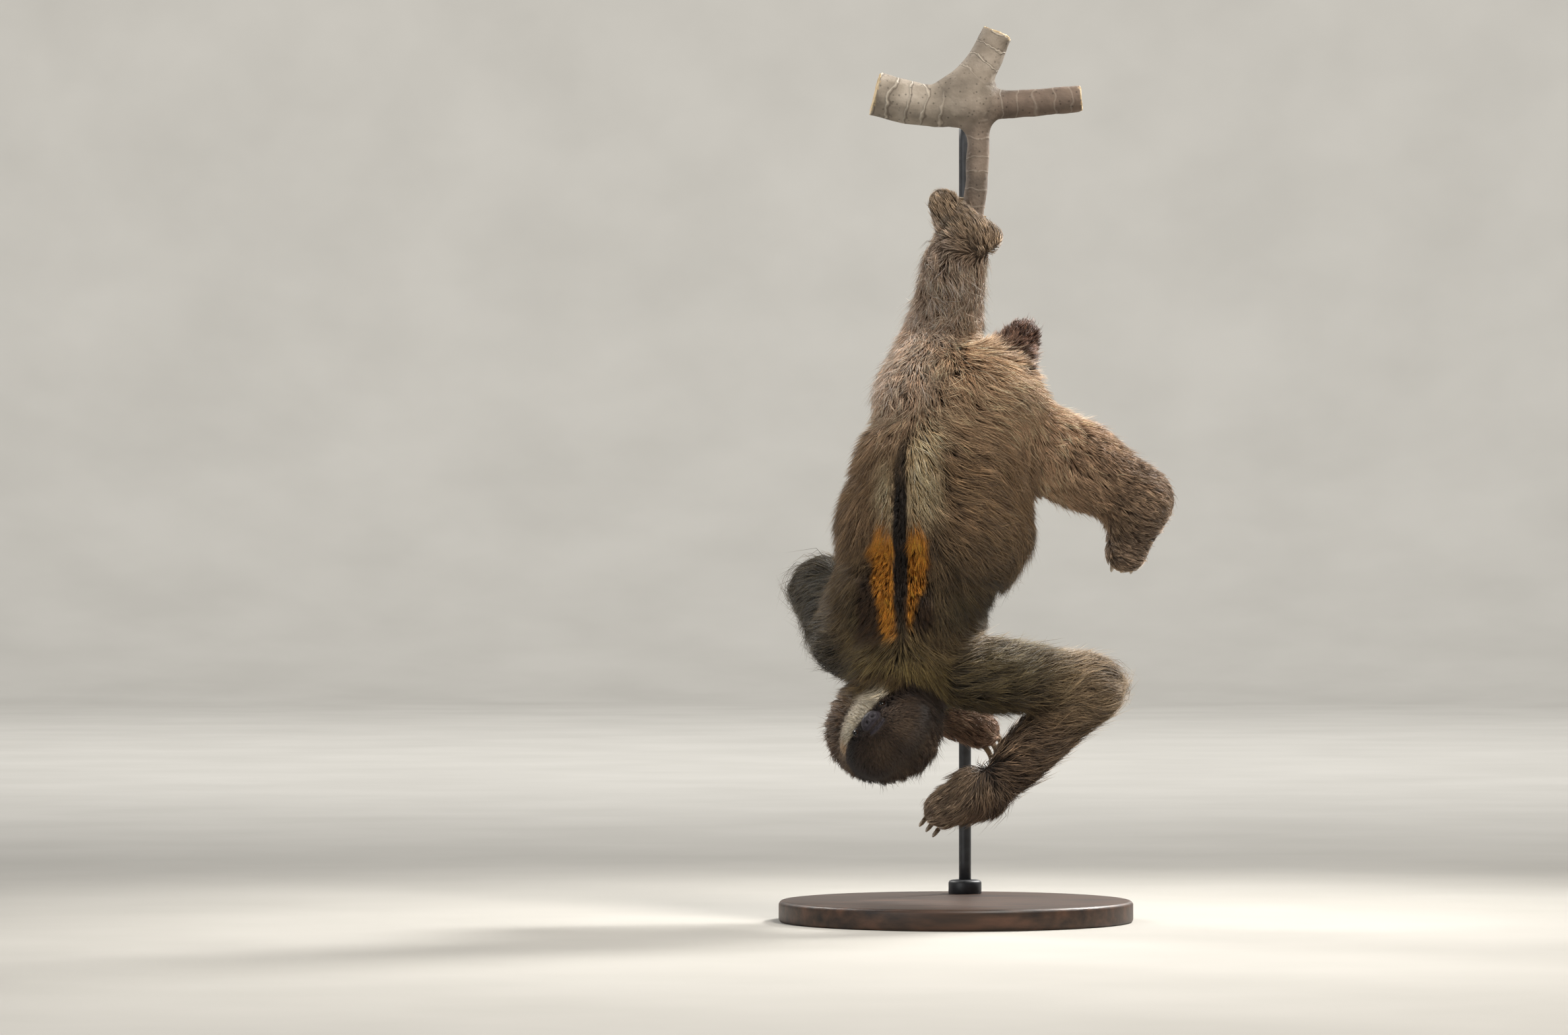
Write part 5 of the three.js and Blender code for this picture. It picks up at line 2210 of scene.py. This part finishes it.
@dataclass(frozen=True)
class Stand:
    """The display stand: a round base, and a rod with a ball elbow and an arm. Millimetres."""

    rod_at: tuple[float, float] = (14.0, 146.0)
    rod_radius: float = 7.0
    base_radius: float = 200.0
    base_height: float = 24.0
    base_round: float = 5.0
    arm_height: float = 925.0
    arm_end: float = -50 + 8 + FORK_RADIUS - 3
    elbow_radius: float = 11.0

    def _base(self) -> Array:
        """The base's profile: a small foot chamfer, an upright edge, and a rounded top edge.

        Returns:
            Rows of radius and height in metres.
        """
        r, h, soft = self.base_radius, self.base_height, self.base_round
        edge = [(0.0, 0.0), (r - 4, 0.0), (r - 1, 1.0), (r, 3.5), (r, 18.2)]
        angles = np.linspace(0.15, 1.57, 8)
        edge += [(r - soft * (1 - math.cos(a)), h - soft + soft * math.sin(a)) for a in angles]
        return np.array([*edge, (150.0, h), (0.0, h)]) * MM

    @staticmethod
    def _collar() -> Array:
        """The collar's profile: an upright edge that rounds in to the rod."""
        edge = [(0, 0.0), (18.4, 0.0), (19.0, 0.6), (19.0, 12.6), (18.2, 14.4), (16.0, 15.6), (13.0, 16.0)]
        return np.array([*edge, (7.4, 16.0), (0, 16.0)]) * MM

    def build(self) -> None:
        """Builds and dresses the five pieces."""
        upright = np.eye(3)
        base = new_mesh("plinth", *turned(self._base(), 144, upright, np.zeros(3)))
        finish_piece(base, Look.WOOD, ("stand_base",))
        foot = np.array([*self.rod_at, self.base_height]) * MM
        top = np.array([*self.rod_at, self.arm_height]) * MM
        fork_back = np.array([self.rod_at[0], self.arm_end, self.arm_height]) * MM
        ball, faces = sphere(28, 40)
        radius = self.rod_radius * MM
        for name, node, shape in (
            ("collar", "stand_collar", turned(self._collar(), 64, upright, foot)),
            ("rod", "stand_rod", sweep(np.linspace(foot, top, 24), radius, 40)),
            ("elbow", "stand_elbow", (top + ball * self.elbow_radius * MM, faces)),
            ("arm", "stand_arm", sweep(np.linspace(top, fork_back, 16), radius, 40)),
        ):
            finish_piece(new_mesh(name, *shape), Look.STEEL, (node,))


# ---- stage ----


@dataclass(frozen=True)
class Lamp:
    """A soft square lamp: where it is, what it points at, its size in metres and its power in watts."""

    name: str
    at: Triple
    aim: Triple
    size: float
    power: float
    color: Triple
    spread: float = 3.1

    def hang(self) -> None:
        """Puts the lamp in the scene, out of the camera's sight."""
        data = bpy.data.lights.new(self.name, "AREA")
        data.size, data.energy, data.color, data.spread = self.size, self.power, self.color, self.spread
        lamp = bpy.data.objects.new(self.name, data)
        lamp.location = self.at
        lamp.visible_camera = False
        lamp.rotation_euler = (Vector(self.aim) - Vector(self.at)).to_track_quat("-Z", "Y").to_euler()
        bpy.context.scene.collection.objects.link(lamp)


LAMPS = (
    Lamp("key", (1.3, -2.0, 3.4), (0, 0, 0.5), 1.0, 165, (1.0, 0.95, 0.88)),
    Lamp("fill", (-2.6, -3.0, 1.0), (0, 0, 0.4), 2.4, 46, (0.98, 0.99, 1.0)),
    Lamp("rim_right", (1.6, 1.5, 2.1), (0, 0, 0.5), 0.7, 20, (1.0, 0.98, 0.94), 1.0),
    Lamp("rim_left", (-1.7, 1.4, 2.0), (0, 0, 0.55), 0.7, 6, (1.0, 0.97, 0.92), 1.0),
    Lamp("paper_light", (0.0, 3.5, 6.5), (0, 11.5, 2.0), 4.0, 1000, (1.0, 0.99, 0.97)),
)


@dataclass(frozen=True)
class Stage:
    """A pale round floor whose edge curves up into a low wall, the camera and soft lamps. Metres."""

    flat: float = 9.5
    bend: float = 2.8
    wall: float = 5.0
    camera_at: Triple = (-0.1939, -8.05, 0.4558)
    distance: float = 8.0
    sensor: float = 36.0
    pixel: float = 0.74 * MM  # what one pixel of the picture spans at the animal
    sky: tuple[float, float, float, float] = (0.9, 0.95, 1.0, 1.0)
    sky_strength: float = 0.3

    def _floor(self) -> None:
        """The paper: flat, then a quarter circle up to the wall."""
        turn = np.linspace(0.05, math.pi / 2, 24)
        edge = [(0.0, 0.0), (2.0, 0.0), (5.0, 0.0), (self.flat, 0.0)]
        edge += [(self.flat + self.bend * math.sin(a), self.bend * (1 - math.cos(a))) for a in turn]
        edge += [(self.flat + self.bend, self.wall)]
        floor = new_mesh("studio_paper", *dish(np.array(edge), 96))
        floor.data.materials.append(MATERIALS.get(Look.FLOOR))

    def _camera(self) -> None:
        """The camera: level, its lens such that the picture's width spans its pixels."""
        camera = bpy.data.cameras.new("camera")
        camera.sensor_width = self.sensor
        camera.sensor_fit = "HORIZONTAL"
        camera.lens = self.sensor * self.distance / (PICTURE[0] * self.pixel)
        camera.clip_end = 100.0
        seat = bpy.data.objects.new("camera", camera)
        seat.location = self.camera_at
        seat.rotation_euler = (math.pi / 2, 0, 0)
        bpy.context.scene.collection.objects.link(seat)
        bpy.context.scene.camera = seat

    def build(self) -> None:
        """Builds the floor, the camera, the sky and the lamps."""
        self._floor()
        self._camera()
        world = bpy.data.worlds.new("studio")
        world.use_nodes = True
        back = world.node_tree.nodes["Background"]
        back.inputs["Color"].default_value = self.sky
        back.inputs["Strength"].default_value = self.sky_strength
        scene = bpy.context.scene
        scene.world = world
        for lamp in LAMPS:
            lamp.hang()
        scene.view_settings.view_transform = "Standard"
        scene.view_settings.look = "None"


def main() -> None:
    """Builds the looks round the frame."""
    logging.basicConfig(level=logging.INFO, format="%(message)s")
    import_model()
    skin = Skin().build()
    Eyes().build()
    NosePad().build()
    Claws().build()
    CoatBuilder(skin).build()
    Branch().build()
    Stand().build()
    Stage().build()


if __name__ == "__main__":
    main()
